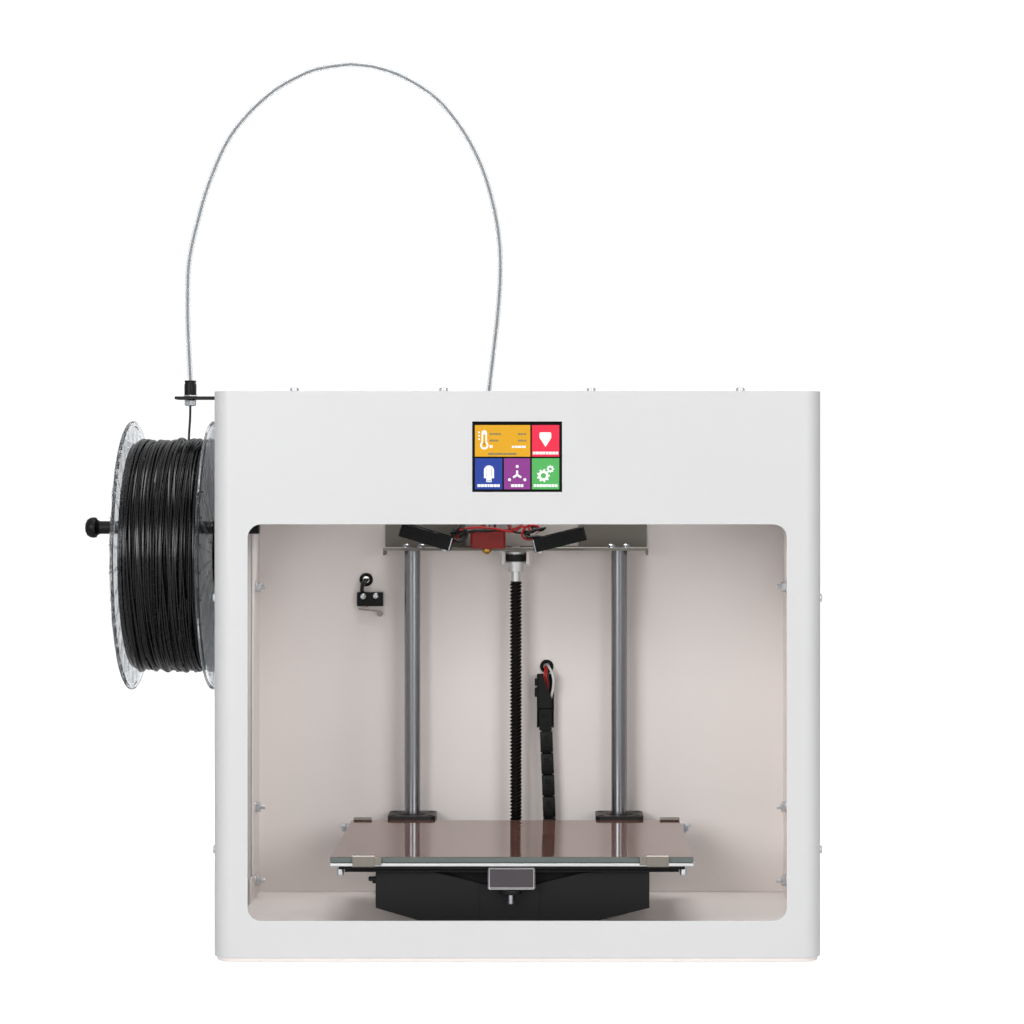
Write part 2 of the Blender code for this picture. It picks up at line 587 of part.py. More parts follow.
SPOOL_LEFT, SPOOL_RIGHT = -0.288, -0.227
FLANGE = 0.003
HUB_INNER, HUB_OUTER, SPOOL_RADIUS = 0.0262, 0.030, 0.100
spool_width = SPOOL_RIGHT - SPOOL_LEFT
spool = turned(
    "spool",
    [(HUB_INNER, spool_width), (SPOOL_RADIUS, spool_width), (SPOOL_RADIUS, spool_width - FLANGE),
     (HUB_OUTER, spool_width - FLANGE), (HUB_OUTER, FLANGE), (SPOOL_RADIUS, FLANGE), (SPOOL_RADIUS, 0),
     (HUB_INNER, 0)],
    (SPOOL_LEFT, SPOOL_DEPTH, SPOOL_HEIGHT), "X", CLEAR, 40,
)
filament_winding = turned(
    "filament_winding",
    [(HUB_OUTER + GAP, spool_width - FLANGE - GAP), (0.085, spool_width - FLANGE - GAP),
     (0.085, FLANGE + GAP), (HUB_OUTER + GAP, FLANGE + GAP)],
    (SPOOL_LEFT, SPOOL_DEPTH, SPOOL_HEIGHT), "X", PLASTIC, 40,
)
ROD_TIP = -0.325
spool_rod = turned(
    "spool_rod",
    [(0, 0.130), (0.0048, 0.130), (0.0048, 0.1198), (0.009, 0.1198), (0.009, 0.1160), (0.0048, 0.1160),
     (0.0048, 0.014), (0.0063, 0.0095), (0.0077, 0.0085), (0.0077, 0.003), (0.005, 0), (0, 0)],
    (ROD_TIP, SPOOL_DEPTH, SPOOL_ROD_HEIGHT), "X", PLASTIC,
)
GUIDE_TOP = 0.3893
guide_plate = box("guide_plate", (-0.257, -0.1845), (SPOOL_DEPTH - 0.012, SPOOL_DEPTH + 0.012),
                  (SHELL_TOP + GAP, GUIDE_TOP), BLACK, ("Z", 0.003, 2))
cut(guide_plate, rod("guide_hole", (GUIDE_X, SPOOL_DEPTH, 0.38), (GUIDE_X, SPOOL_DEPTH, 0.40), 0.0031))
guide_fitting = turned(
    "guide_fitting",
    [(0, 0.4015), (0.0045, 0.4015), (0.0045, GUIDE_TOP + GAP), (0.0028, GUIDE_TOP + GAP), (0.0028, 0.3870),
     (0.0046, 0.3870), (0.0046, 0.3825), (0, 0.3825)],
    (GUIDE_X, SPOOL_DEPTH, 0), "Z", PLASTIC,
)

# ---- Feed tube: one bent length, in two pieces that meet at the top of its arch ----

TUBE_RISE = [
    (-0.2465, 0.195, 0.4018), (-0.2478, 0.195, 0.428), (-0.2488, 0.196, 0.4564), (-0.2477, 0.196, 0.4898),
    (-0.2419, 0.197, 0.5183), (-0.2320, 0.197, 0.5516), (-0.2154, 0.198, 0.5868), (-0.1888, 0.199, 0.6153),
    (-0.1621, 0.199, 0.6312), (-0.1454, 0.200, 0.6363), (-0.1271, 0.200, 0.6386),
]
TUBE_DROP = [
    (-0.1267, 0.200, 0.6386), (-0.1088, 0.201, 0.6365), (-0.0871, 0.202, 0.6290), (-0.0620, 0.202, 0.6124),
    (-0.0420, 0.203, 0.5874), (-0.0286, 0.203, 0.5607), (-0.0202, 0.204, 0.5323), (-0.0161, 0.205, 0.5073),
    (-0.0152, 0.205, 0.4822), (-0.0170, 0.206, 0.4537), (-0.0203, 0.207, 0.4236), (-0.0237, 0.207, 0.3951),
    (-0.0240, 0.207, 0.3915),
]


def smooth_route(route, spacing):
    """Places a set distance apart along a Catmull-Rom curve through the route's points."""
    ends = [route[0] * 2 - route[1]] + route + [route[-1] * 2 - route[-2]]
    fine = []
    for a, b, c, d in zip(ends, ends[1:], ends[2:], ends[3:]):
        for i in range(24):
            t = i / 24
            bend = (2 * a - 5 * b + 4 * c - d) * t**2
            twist = (3 * b - a - 3 * c + d) * t**3
            fine.append(0.5 * (2 * b + (c - a) * t + bend + twist))
    fine.append(route[-1])
    length = sum((q - p).length for p, q in zip(fine, fine[1:]))
    count = round(length / spacing)
    kept, gone = [fine[0]], 0.0
    for p, q in zip(fine, fine[1:]):
        gone += (q - p).length
        if gone >= length * len(kept) / count and len(kept) < count:
            kept.append(q)
    return kept + [fine[-1]]


def cord(name, route, radius, look, spacing):
    curve = bpy.data.curves.new(name, "CURVE")
    curve.dimensions = "3D"
    curve.bevel_depth = radius
    curve.bevel_resolution = 2
    curve.use_fill_caps = True
    places = smooth_route([at(*place) for place in route], spacing)
    line = curve.splines.new("POLY")
    line.points.add(len(places) - 1)
    for point, place in zip(line.points, places):
        point.co = (*place, 1)
    curve.materials.append(look)
    made = bpy.data.objects.new(name, curve)
    parts.objects.link(made)
    return made


filament_tube_rise = cord("filament_tube_rise", TUBE_RISE, 0.002, CLEAR, 0.012)
filament_tube_drop = cord("filament_tube_drop", TUBE_DROP, 0.002, CLEAR, 0.012)

# ---- Bed cable chain: clamped to the back wall, down, round and up to the bed ----

CHAIN_DEPTH = 0.2465
chain_path = [(0.0180, 0.1360), (0.0190, 0.110), (0.0205, 0.085), (0.0215, 0.062), (0.0218, 0.045)]
BEND_RADIUS = 0.0125
BEND_DROP = 1.2  # the bend hangs a little lower than a half circle
for i in range(1, 9):
    angle = math.pi + math.pi * i / 8
    chain_path.append((0.0218 + BEND_RADIUS * (1 + math.cos(angle)),
                       0.040 + BEND_RADIUS * BEND_DROP * math.sin(angle)))
chain_path.append((0.0470, 0.0500))
CHAIN_HALF = 0.0048
ring = []
for way in (1, -1):
    for i in range(len(chain_path)):
        before = Vector(chain_path[max(i - 1, 0)])
        after = Vector(chain_path[min(i + 1, len(chain_path) - 1)])
        along = (after - before).normalized()
        spot = Vector(chain_path[i]) + way * CHAIN_HALF * Vector((-along.y, along.x))
        ring.insert(len(ring) if way == 1 else 0, spot)
chain_curve = bpy.data.curves.new("drag_chain", "CURVE")
chain_curve.dimensions = "2D"
chain_curve.fill_mode = "BOTH"
chain_curve.extrude = 0.0045
line = chain_curve.splines.new("POLY")
line.points.add(len(ring) - 1)
for point, spot in zip(line.points, ring):
    point.co = (spot.x, spot.y, 0, 1)
line.use_cyclic_u = True
chain_curve.materials.append(PLASTIC)
drag_chain = bpy.data.objects.new("drag_chain", chain_curve)
drag_chain.location = at(0, CHAIN_DEPTH, 0)
drag_chain.rotation_euler.x = math.pi / 2
parts.objects.link(drag_chain)

# ---- Height switch on the back wall ----

endstop_body = box("endstop_body", (-0.1262, -0.1062), (0.2490, BACK_WALL - GAP), (0.2303, 0.2410), PLASTIC)
endstop_lever = box("endstop_lever", (-0.1250, -0.1086), (0.2500, 0.2535), (0.2262, 0.2270), STEEL)
endstop_lever.rotation_euler.y = math.radians(6)
endstop_lever.location.z += 0.0006
roller = rod("endstop_roller", (-0.1086, 0.2500, 0.2245), (-0.1086, 0.2535, 0.2245), 0.0022, sides=16)
join(endstop_lever, roller)

# ---- Electronics behind the back wall ----

power_supply = box("power_supply", (-0.190, 0.020), (0.285, 0.385), (FLOOR + GAP, 0.060), ALLOY)
mainboard = box("mainboard", (0.050, 0.180), (0.2650, 0.2666), (0.090, 0.190), BOARD)
join(
    mainboard,
    box("driver_blocks", (0.070, 0.150), (0.2660, 0.2760), (0.120, 0.135)),
    box("terminal_block", (0.060, 0.160), (0.2660, 0.2780), (0.094, 0.106)),
    box("processor", (0.100, 0.122), (0.2660, 0.2690), (0.150, 0.172)),
)
power_inlet = box("power_inlet", (0.1200, 0.1800), (CABINET_DEPTH + GAP, CABINET_DEPTH + 0.002),
                  (0.0350, 0.0710), PLASTIC)
join(power_inlet, box("inlet_body", (0.1247, 0.1753), (0.386, CABINET_DEPTH + 0.001), (0.0390, 0.0670)))
cut(
    power_inlet,
    box("inlet_socket", (0.1290, 0.1510), (0.394, CABINET_DEPTH + 0.01), (0.0450, 0.0610)),
    box("rocker_room", (0.1565, 0.1705), (0.398, CABINET_DEPTH + 0.01), (0.0430, 0.0630)),
)
rocker_switch = box("rocker_switch", (0.1570, 0.1700), (0.4030, 0.4105), (0.0440, 0.0620), PLASTIC,
                    ("X", 0.002, 1))

# ---- Joints ----

bed_pieces = (bed_support, heater_plate, glass_plate, bed_grip, lead_nut, *blocks)
bed = joint("bed_lift", at(LIFT_X, LIFT_DEPTH, 0.05), *bed_pieces)
knob = joint("level_knob_spin", at(-0.0047, 0.0257, 0.045), level_knob)
knob.parent = bed
knob.matrix_parent_inverse = Matrix.Translation(-bed.location)
joint("z_screw_spin", at(LIFT_X, LIFT_DEPTH, 0.2), z_screw)
joint("z_motor_spin", at(LIFT_X, Z_MOTOR_DEPTH, 0.26), z_motor_pulley)
joint("cross_shaft_spin", at(0, DRIVE_DEPTH, DRIVE_HEIGHT), cross_shaft)
gantry = joint("gantry_slide", at(0, X_BELT_DEPTH, X_ROD_HEIGHT), *bridge)
carriage = joint(
    "carriage_slide", at(NOZZLE_X, X_BELT_DEPTH, X_ROD_HEIGHT),
    carriage_block, extruder_motor, heat_sink, heater_block, nozzle, filament_tube_drop,
)
x_drive = joint("x_pulley_spin", at(X_PULLEY_X, X_BELT_DEPTH, X_ROD_HEIGHT), x_motor_pulley)
x_return = joint("x_idler_spin", at(-X_PULLEY_X, X_BELT_DEPTH, X_ROD_HEIGHT), x_idler)
feed = joint("drive_gear_spin", at(-0.019, 0.207, 0.3735), drive_gear)
lever = joint("idler_lever_swing", at(-0.0368, 0.2075, 0.3370), idler_lever)
for pivot, owner in (
    (carriage, gantry), (x_drive, gantry), (x_return, gantry), (feed, carriage), (lever, carriage),
    (fan_left, carriage), (fan_right, carriage),
):
    pivot.parent = owner
    pivot.matrix_parent_inverse = Matrix.Translation(-owner.location)
joint("spool_spin", at((SPOOL_LEFT + SPOOL_RIGHT) / 2, SPOOL_DEPTH, SPOOL_HEIGHT), spool, filament_winding)
joint("endstop_swing", at(-0.1250, 0.2518, 0.2278), endstop_lever)
joint("rocker_tilt", at(0.1635, 0.4065, 0.0530), rocker_switch)
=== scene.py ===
import math
import random

import bmesh
import bpy
from mathutils import Matrix, Vector


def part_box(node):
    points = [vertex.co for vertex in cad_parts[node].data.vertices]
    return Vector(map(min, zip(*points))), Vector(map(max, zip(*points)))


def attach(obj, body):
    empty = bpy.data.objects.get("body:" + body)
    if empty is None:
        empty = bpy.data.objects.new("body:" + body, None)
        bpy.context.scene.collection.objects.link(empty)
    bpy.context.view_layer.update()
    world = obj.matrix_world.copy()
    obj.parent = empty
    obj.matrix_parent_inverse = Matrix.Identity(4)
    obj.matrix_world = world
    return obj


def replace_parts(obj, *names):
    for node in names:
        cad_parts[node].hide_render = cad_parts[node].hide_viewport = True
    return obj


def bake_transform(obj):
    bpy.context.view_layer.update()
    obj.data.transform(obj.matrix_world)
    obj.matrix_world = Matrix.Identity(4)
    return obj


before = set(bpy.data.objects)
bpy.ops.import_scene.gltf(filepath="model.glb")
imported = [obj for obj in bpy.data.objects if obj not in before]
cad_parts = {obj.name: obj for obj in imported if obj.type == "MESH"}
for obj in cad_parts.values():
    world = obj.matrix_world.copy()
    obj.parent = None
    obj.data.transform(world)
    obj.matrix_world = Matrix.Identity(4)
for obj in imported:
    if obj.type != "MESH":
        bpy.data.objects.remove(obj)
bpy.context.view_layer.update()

# ---- Places ----
# Sizes follow the cabinet: across from its middle, depth from its front face, height from the ground.

shell_low, shell_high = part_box("front_shell")
cabinet_middle = (shell_low.x + shell_high.x) / 2
cabinet_front = shell_low.y


def at(across, depth, height):
    return Vector((cabinet_middle + across, cabinet_front + depth, height))


# ---- Camera ----
# Level with the middle of the chamber and a little right of it, from across a desk.

camera_data = bpy.data.cameras.new("camera")
camera_data.sensor_width = 36
camera_data.lens = 91.4
camera_data.shift_x = -0.037
camera_data.shift_y = -0.031
camera = bpy.data.objects.new("camera", camera_data)
camera.location = at(0.022, -1.747, 0.327)
camera.rotation_euler = (math.pi / 2, 0, 0)
bpy.context.collection.objects.link(camera)
bpy.context.scene.camera = camera
bpy.context.scene.view_settings.view_transform = "Standard"

# ---- Studio ----
# A white floor under even light, with one large soft lamp on each side, one overhead and a small one inside
# the top edge that lifts the shade on the chamber's wall.


def linear(code):
    """The linear colour of an sRGB hex value."""
    parts = [int(code[i:i + 2], 16) / 255 for i in (0, 2, 4)]
    return (*[c / 12.92 if c <= 0.04045 else ((c + 0.055) / 1.055) ** 2.4 for c in parts], 1.0)


def add(tree, kind, settings, feeds=None):
    """Adds a shader node. A setting is one of its own values, a socket's value, or an output or another node
    linked to a socket. Its first output can feed a named socket of the material's shader."""
    made = tree.nodes.new("ShaderNode" + kind)
    for name, value in settings.items():
        if isinstance(value, bpy.types.Node):
            value = value.outputs[0]
        if isinstance(name, str) and hasattr(made, name):
            setattr(made, name, value)
        elif isinstance(value, bpy.types.NodeSocket):
            tree.links.new(value, made.inputs[name])
        else:
            made.inputs[name].default_value = value
    if feeds:
        tree.links.new(made.outputs[0], tree.nodes["Principled BSDF"].inputs[feeds])
    return made


def start_material(name, colour, roughness, metallic=0.0):
    """A material with its base values set: the material, its tree, its shader and its Object coordinates."""
    made = bpy.data.materials.new(name)
    made.use_nodes = True
    tree = made.node_tree
    shader = tree.nodes["Principled BSDF"]
    shader.inputs["Base Color"].default_value = linear(colour)
    shader.inputs["Roughness"].default_value = roughness
    shader.inputs["Metallic"].default_value = metallic
    place = add(tree, "TexCoord", {}).outputs["Object"]
    return made, tree, shader, place


FLOOR_SIZE = 12.0
FLOOR_GLOW = 0.0
FLOOR_SHOWN = 0.9
floor_mesh = bpy.data.meshes.new("floor")
floor_work = bmesh.new()
bmesh.ops.create_grid(floor_work, x_segments=1, y_segments=1, size=FLOOR_SIZE / 2)
floor_work.to_mesh(floor_mesh)
floor_work.free()
floor = bpy.data.objects.new("floor", floor_mesh)
bpy.context.collection.objects.link(floor)
# Matt white board: it reads as plain white, as a sweep lit from behind does, but lights nothing itself.
floor_look, floor_tree, floor_shader, _ = start_material("matt_white_board", "f2f2f2", 0.8)
floor_shader.inputs["Emission Color"].default_value = (1, 1, 1, 1)
floor_ray = add(floor_tree, "LightPath", {})
floor_seen = add(floor_tree, "Math", {
    "operation": "MAXIMUM", 0: floor_ray.outputs["Is Camera Ray"],
1: floor_ray.outputs["Is Transmission Ray"],
}).outputs[0]
add(floor_tree, "MapRange", {"Value": floor_seen, "To Min": FLOOR_GLOW, "To Max": FLOOR_SHOWN},
    "Emission Strength")
floor_mesh.materials.append(floor_look)

world = bpy.data.worlds.new("studio")
bpy.context.scene.world = world
world.use_nodes = True
sky = world.node_tree
for old in list(sky.nodes):
    sky.nodes.remove(old)
ray = add(sky, "LightPath", {})
seen = add(sky, "Math", {
    "operation": "MAXIMUM", 0: ray.outputs["Is Camera Ray"], 1: ray.outputs["Is Transmission Ray"],
}).outputs[0]
shown = add(sky, "Background", {"Color": (1, 1, 1, 1), "Strength": 1.05})
fill = add(sky, "MapRange", {"Value": ray.outputs["Is Glossy Ray"], "To Min": 0.16, "To Max": 0.6})
cast = add(sky, "Background", {"Color": (0.97, 0.98, 1, 1), "Strength": fill})
either = add(sky, "MixShader", {0: seen, 1: cast.outputs[0], 2: shown.outputs[0]})
add(sky, "OutputWorld", {"Surface": either.outputs[0]})

for name, place, aim, width, power in (
    ("lamp_left", (-1.1, -2.1, 0.85), (0, 0.15, 0.2), 1.0, 26),
    ("lamp_right", (1.3, -2.0, 0.8), (0, 0.15, 0.2), 1.1, 18.5),
    ("lamp_over", (0.05, -0.1, 1.6), (0, 0.2, 0.2), 0.8, 12),
    ("lamp_rear", (0.0, 0.335, 0.5), (0.0, 0.4, 0.29), 0.12, 1.8),
):
    lamp_data = bpy.data.lights.new(name, "AREA")
    lamp_data.shape = "SQUARE"
    lamp_data.size = width
    lamp_data.energy = power
    lamp = bpy.data.objects.new(name, lamp_data)
    lamp.location = at(*place)
    lamp.rotation_euler = (at(*aim) - at(*place)).to_track_quat("-Z", "Y").to_euler()
    bpy.context.collection.objects.link(lamp)

# ---- Feed tube ----
# A clear PTFE tube, 4 mm outside and 2 mm inside, that guides the filament from the guide on the left
# edge over a high arch down to the head. It is pushed into a fitting at each end.

TUBE_RADIUS = 0.002
FILAMENT_RADIUS = 0.000875
TUBE_RISE = [
    (-0.2465, 0.195, 0.4018), (-0.2478, 0.195, 0.428), (-0.2488, 0.196, 0.4564), (-0.2477, 0.196, 0.4898),
    (-0.2419, 0.197, 0.5183), (-0.2320, 0.197, 0.5516), (-0.2154, 0.198, 0.5868), (-0.1888, 0.199, 0.6153),
    (-0.1621, 0.199, 0.6312), (-0.1454, 0.200, 0.6363), (-0.1269, 0.200, 0.6386),
]
TUBE_DROP = [
    (-0.1269, 0.200, 0.6386), (-0.1088, 0.201, 0.6365), (-0.0871, 0.202, 0.6290), (-0.0620, 0.202, 0.6124),
    (-0.0420, 0.203, 0.5874), (-0.0286, 0.203, 0.5607), (-0.0202, 0.204, 0.5323), (-0.0161, 0.205, 0.5073),
    (-0.0152, 0.205, 0.4822), (-0.0170, 0.206, 0.4537), (-0.0203, 0.207, 0.4236), (-0.0237, 0.207, 0.3951),
    (-0.0240, 0.207, 0.3915),
]

# PTFE: milky but clear enough to show the dark filament, with a waxy shine. Its IOR is set below the real
# 1.35, so that the thin wall doesn't turn dark at its edges.
ptfe, ptfe_tree, ptfe_shader, ptfe_place = start_material("extruded_ptfe", "f4f7fa", 0.12)
ptfe_shader.inputs["IOR"].default_value = 1.08
ptfe_shader.inputs["Transmission Weight"].default_value = 0.72
ptfe_haze = add(ptfe_tree, "TexNoise", {"Vector": ptfe_place, "Scale": 260.0, "Detail": 2.0})
add(ptfe_tree, "MapRange", {"Value": ptfe_haze, "To Min": 0.08, "To Max": 0.22}, "Roughness")

# PLA filament: black, glossy from the die, with faint drawn lines along it.
pla, pla_tree, pla_shader, pla_place = start_material("extruded_pla", "060607", 0.22)
pla_shader.inputs["Specular IOR Level"].default_value = 0.4
pla_lines = add(pla_tree, "TexNoise", {"Vector": pla_place, "Scale": 900.0, "Detail": 2.0})
add(pla_tree, "MapRange", {"Value": pla_lines, "To Min": 0.16, "To Max": 0.34}, "Roughness")


def smooth_route(route, spacing):
    """Places a set distance apart along a smooth curve through the route's points."""
    ends = [route[0] * 2 - route[1]] + route + [route[-1] * 2 - route[-2]]
    fine = []
    for a, b, c, d in zip(ends, ends[1:], ends[2:], ends[3:]):
        for i in range(24):
            t = i / 24
            bend = (2 * a - 5 * b + 4 * c - d) * t**2
            twist = (3 * b - a - 3 * c + d) * t**3
            fine.append(0.5 * (2 * b + (c - a) * t + bend + twist))
    fine.append(route[-1])
    length = sum((q - p).length for p, q in zip(fine, fine[1:]))
    count = max(2, round(length / spacing))
    kept, gone = [fine[0]], 0.0
    for p, q in zip(fine, fine[1:]):
        gone += (q - p).length
        if gone >= length * len(kept) / count and len(kept) < count:
            kept.append(q)
    return kept + [fine[-1]]


def enter(name, mesh, look, sharp=30):
    """Links a finished mesh as a piece, shaded smooth up to an angle."""
    mesh.shade_smooth()
    mesh.set_sharp_from_angle(angle=math.radians(sharp))
    mesh.materials.clear()
    mesh.materials.append(look)
    made = bpy.data.objects.new(name, mesh)
    bpy.context.collection.objects.link(made)
    return made


def wire(name, lines, radius, look, sides=2):
    """Round wires through places, each closed at its ends, as one mesh piece."""
    curve = bpy.data.curves.new(name, "CURVE")
    curve.dimensions = "3D"
    curve.bevel_depth = radius
    curve.bevel_resolution = sides
    curve.use_fill_caps = True
    for places in lines:
        line = curve.splines.new("POLY")
        line.points.add(len(places) - 1)
        for point, place in zip(line.points, places):
            point.co = (*place, 1)
    holder = bpy.data.objects.new(name + "_line", curve)
    bpy.context.collection.objects.link(holder)
    graph = bpy.context.evaluated_depsgraph_get()
    mesh = bpy.data.meshes.new_from_object(holder.evaluated_get(graph))
    bpy.data.objects.remove(holder)
    work = bmesh.new()
    work.from_mesh(mesh)
    bmesh.ops.remove_doubles(work, verts=work.verts, dist=1e-6)
    bmesh.ops.recalc_face_normals(work, faces=work.faces)
    work.to_mesh(mesh)
    work.free()
    return enter(name, mesh, look, 50)


for side, route, bodies, length in (
    ("rise", TUBE_RISE, ("cabinet", "gantry"), 0.298),
    ("drop", TUBE_DROP, ("gantry", "carriage"), 0.305),
):
    path = smooth_route([at(*place) for place in route], 0.005)
    tube = wire("feed_tube_" + side, [path], TUBE_RADIUS, ptfe, 4)
    strand = wire("fed_filament_" + side, [path], FILAMENT_RADIUS, pla, 2)
    for tube_part in (tube, strand):
        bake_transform(tube_part)
    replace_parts(tube, "filament_tube_" + side)

# ---- Shells ----
# Front and rear covers, base and chamber wall: folded 1.5 mm steel sheet with rounded bends, satin white
# powder coat. The covers are screwed to the base and to each other.

# Powder coat: satin, with the orange peel that the fused powder leaves. The peel is drawn at 1.6 mm,
# coarser than its real half millimetre, so that it shows.
POWDER_PEEL = 0.0016


def powder_coat(name, light, dark):
    """Satin powder coat that varies a little between two tints."""
    made, tree, shader, place = start_material(name, light, 0.42)
    peel = add(tree, "TexNoise", {"Vector": place, "Scale": 1 / POWDER_PEEL, "Detail": 3.0})
    cloud = add(tree, "TexNoise", {"Vector": place, "Scale": 7.0, "Detail": 2.0})
    add(tree, "MixRGB", {"Fac": cloud, "Color1": linear(light), "Color2": linear(dark)}, "Base Color")
    add(tree, "MapRange", {"Value": peel, "To Min": 0.36, "To Max": 0.5}, "Roughness")
    add(tree, "Bump", {"Height": peel, "Strength": 0.1, "Distance": 0.0002}, "Normal")
    return made


# Two copies of one white coat. The first, darker, holds down the strong light on the front covers; the
# second, lighter and warmer, is painted light that lifts the shade on the base, the chamber wall and the
# bearing legs.
powder = powder_coat("powder_coated_steel", "d9d9d9", "d5d5d5")
shade_lifted_powder = powder_coat("shade_lifted_powder_coated_steel", "f8f1ed", "f3ebe7")


def even_shading(made):
    """Keeps flat faces flat beside their rounded edges."""
    weighted = made.modifiers.new("even_shading", "WEIGHTED_NORMAL")
    weighted.keep_sharp = True


def soften(work, edges, offset, segments):
    """Rounds edges over."""
    bmesh.ops.bevel(
        work, geom=edges, offset=offset, segments=segments, profile=0.5, affect="EDGES",
        clamp_overlap=True, material=-1,
    )


def finished_copy(name, node, look, body, edge=0.0004, segments=2, sharp=30):
    """A merged copy of a CAD node with its sharp edges broken by a small round, which stands for it."""
    work = bmesh.new()
    work.from_mesh(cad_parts[node].data)
    bmesh.ops.remove_doubles(work, verts=work.verts, dist=0.00002)
    bmesh.ops.dissolve_limit(
        work, angle_limit=math.radians(0.5), verts=work.verts, edges=work.edges, delimit={"NORMAL"}
    )
    if edge:
        limit = math.radians(sharp)
        hard = [e for e in work.edges if len(e.link_faces) == 2 and e.calc_face_angle(0) > limit]
        soften(work, hard, edge, segments)
    bmesh.ops.triangulate(work, faces=[f for f in work.faces if len(f.verts) > 4])
    mesh = bpy.data.meshes.new(name)
    work.to_mesh(mesh)
    work.free()
    made = enter(name, mesh, look, 40)
    even_shading(made)
    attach(made, body)
    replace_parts(made, node)
    return made


# The base and the chamber wall take the lighter copy of the coat, painted light against the shade inside the
# chamber.
for node, look in (("front_shell", powder), ("rear_shell", powder), ("base_tray", shade_lifted_powder),
                   ("chamber_back_wall", shade_lifted_powder)):
    finished_copy(node + "_coated", node, look, "cabinet")

# ---- Display ----
# A colour touch panel behind a black-edged glass, set in a window in the front cover. It shows five
# generic tiles: a temperature field, a nozzle, a memory stick, three axes and two gears.

# Each layer lies on the one before: the panel, its lit tiles, white glyphs, and details cut into a glyph.
PANEL_FACE = 0.0004
TILE_RISE = 0.00012
GLYPH_RISE = 0.00008
GLYPH_FACE = PANEL_FACE - TILE_RISE
DETAIL_FACE = GLYPH_FACE - GLYPH_RISE
DETAIL_RISE = GLYPH_RISE / 2


def grown(work, before):
    """The points that a shape has just added."""
    return [v for v in work.verts if v not in before]


def block(work, low, high, edge=0.0, segments=2):
    """A box between two corners with its edges rounded."""
    before = set(work.verts)
    made = bmesh.ops.create_cube(work, size=1.0)["verts"]
    bmesh.ops.scale(work, vec=high - low, verts=made)
    bmesh.ops.translate(work, vec=(low + high) / 2, verts=made)
    if edge:
        edges = list({e for v in made for e in v.link_edges})
        soften(work, edges, edge, segments)
    return grown(work, before)


def disc(work, start, end, radius, far_radius=None, edge=0.0, sides=32, segments=2):
    """A round bar, cone or, with six sides, a nut from one place to another, with rounded rims."""
    before = set(work.verts)
    far_radius = radius if far_radius is None else far_radius
    bmesh.ops.create_cone(
        work, cap_ends=True, segments=sides, radius1=radius, radius2=far_radius, depth=(end - start).length
    )
    if edge:
        caps = {f for v in grown(work, before) for f in v.link_faces if abs(f.normal.z) > 0.99}
        rims = list({e for f in caps for e in f.edges})
        soften(work, rims, edge, segments)
    made = grown(work, before)
    turn = (end - start).to_track_quat("Z", "Y").to_matrix().to_4x4()
    bmesh.ops.transform(work, matrix=Matrix.Translation((start + end) / 2) @ turn, verts=made)
    return made


def raised(made):
    """The points that an extrusion has just made."""
    return [v for v in made["geom"] if isinstance(v, bmesh.types.BMVert)]


def flat(work, outline, depth, rise):
    """A thin flat shape that faces the front, from its (across, height) outline."""
    corners = [work.verts.new(at(across, depth, height)) for across, height in outline]
    face = work.faces.new(corners)
    bmesh.ops.translate(
        work, vec=(0, -rise, 0), verts=raised(bmesh.ops.extrude_face_region(work, geom=[face]))
    )


def piece(name, work, look, body, sharp=30):
    """Closes a bmesh's seams, turns its faces outwards and links it as a piece that rides on a body."""
    bmesh.ops.remove_doubles(work, verts=work.verts, dist=1e-6)
    bmesh.ops.recalc_face_normals(work, faces=work.faces)
    mesh = bpy.data.meshes.new(name)
    work.to_mesh(mesh)
    work.free()
    made = enter(name, mesh, look, sharp)
    even_shading(made)
    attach(made, body)
    return made


def screen_look(name, colour, glow):
    """Lit liquid crystal behind glass: even colour with a faint pixel grid, glossy in front."""
    made, tree, shader, place = start_material(name, colour, 0.16)
    pixels = add(tree, "TexVoronoi", {"Vector": place, "Scale": 2500.0})
    add(tree, "MixRGB", {
        "Fac": pixels, "Color1": linear(colour),
        "Color2": tuple(c * 0.93 for c in linear(colour)[:3]) + (1.0,),
    }, "Base Color")
    shader.inputs["Emission Color"].default_value = linear(colour)
    shader.inputs["Emission Strength"].default_value = glow
    return made


panel_glass, panel_tree, panel_shader, panel_place = start_material("black_edged_glass", "030304", 0.08)
panel_shader.inputs["Specular IOR Level"].default_value = 0.2
panel_dust = add(panel_tree, "TexNoise", {"Vector": panel_place, "Scale": 60.0, "Detail": 4.0})
add(panel_tree, "MapRange", {"Value": panel_dust, "To Min": 0.05, "To Max": 0.14}, "Roughness")
finished_copy("display_panel", "display_module", panel_glass, "cabinet", 0.0003)

TILES = (  # name, colour, across limits, height limits
    ("temperature", "e3a71f", (-0.0284, 0.0088), (0.3429, 0.3641)),
    ("nozzle", "ee2f4d", (0.0099, 0.0283), (0.3429, 0.3641)),
    ("memory_stick", "27429b", (-0.0284, -0.0100), (0.3209, 0.3418)),
    ("axes", "8c3b8c", (-0.0089, 0.0088), (0.3209, 0.3418)),
    ("gears", "56b35e", (0.0099, 0.0283), (0.3209, 0.3418)),
)
for name, colour, (left, right), (low, high) in TILES:
    work = bmesh.new()
    block(work, at(left, GLYPH_FACE, low), at(right, PANEL_FACE, high))
    piece("tile_" + name, work, screen_look("lit_screen_" + name, colour, 0.06), "cabinet")


def rectangle(left, right, low, high):
    return [(left, low), (right, low), (right, high), (left, high)]


def capsule(left, right, low, high):
    """The outline of a shape with a round top and square foot."""
    middle, radius = (left + right) / 2, (right - left) / 2
    turns = [math.pi * i / 10 for i in range(11)]
    arc = [(middle + radius * math.cos(turn), high - radius + radius * math.sin(turn)) for turn in turns]
    return [(left, low), (right, low)] + arc


def dot(work, across, height, radius, face=GLYPH_FACE, rise=GLYPH_RISE):
    disc(work, at(across, face, height), at(across, face - rise, height), radius, sides=24)


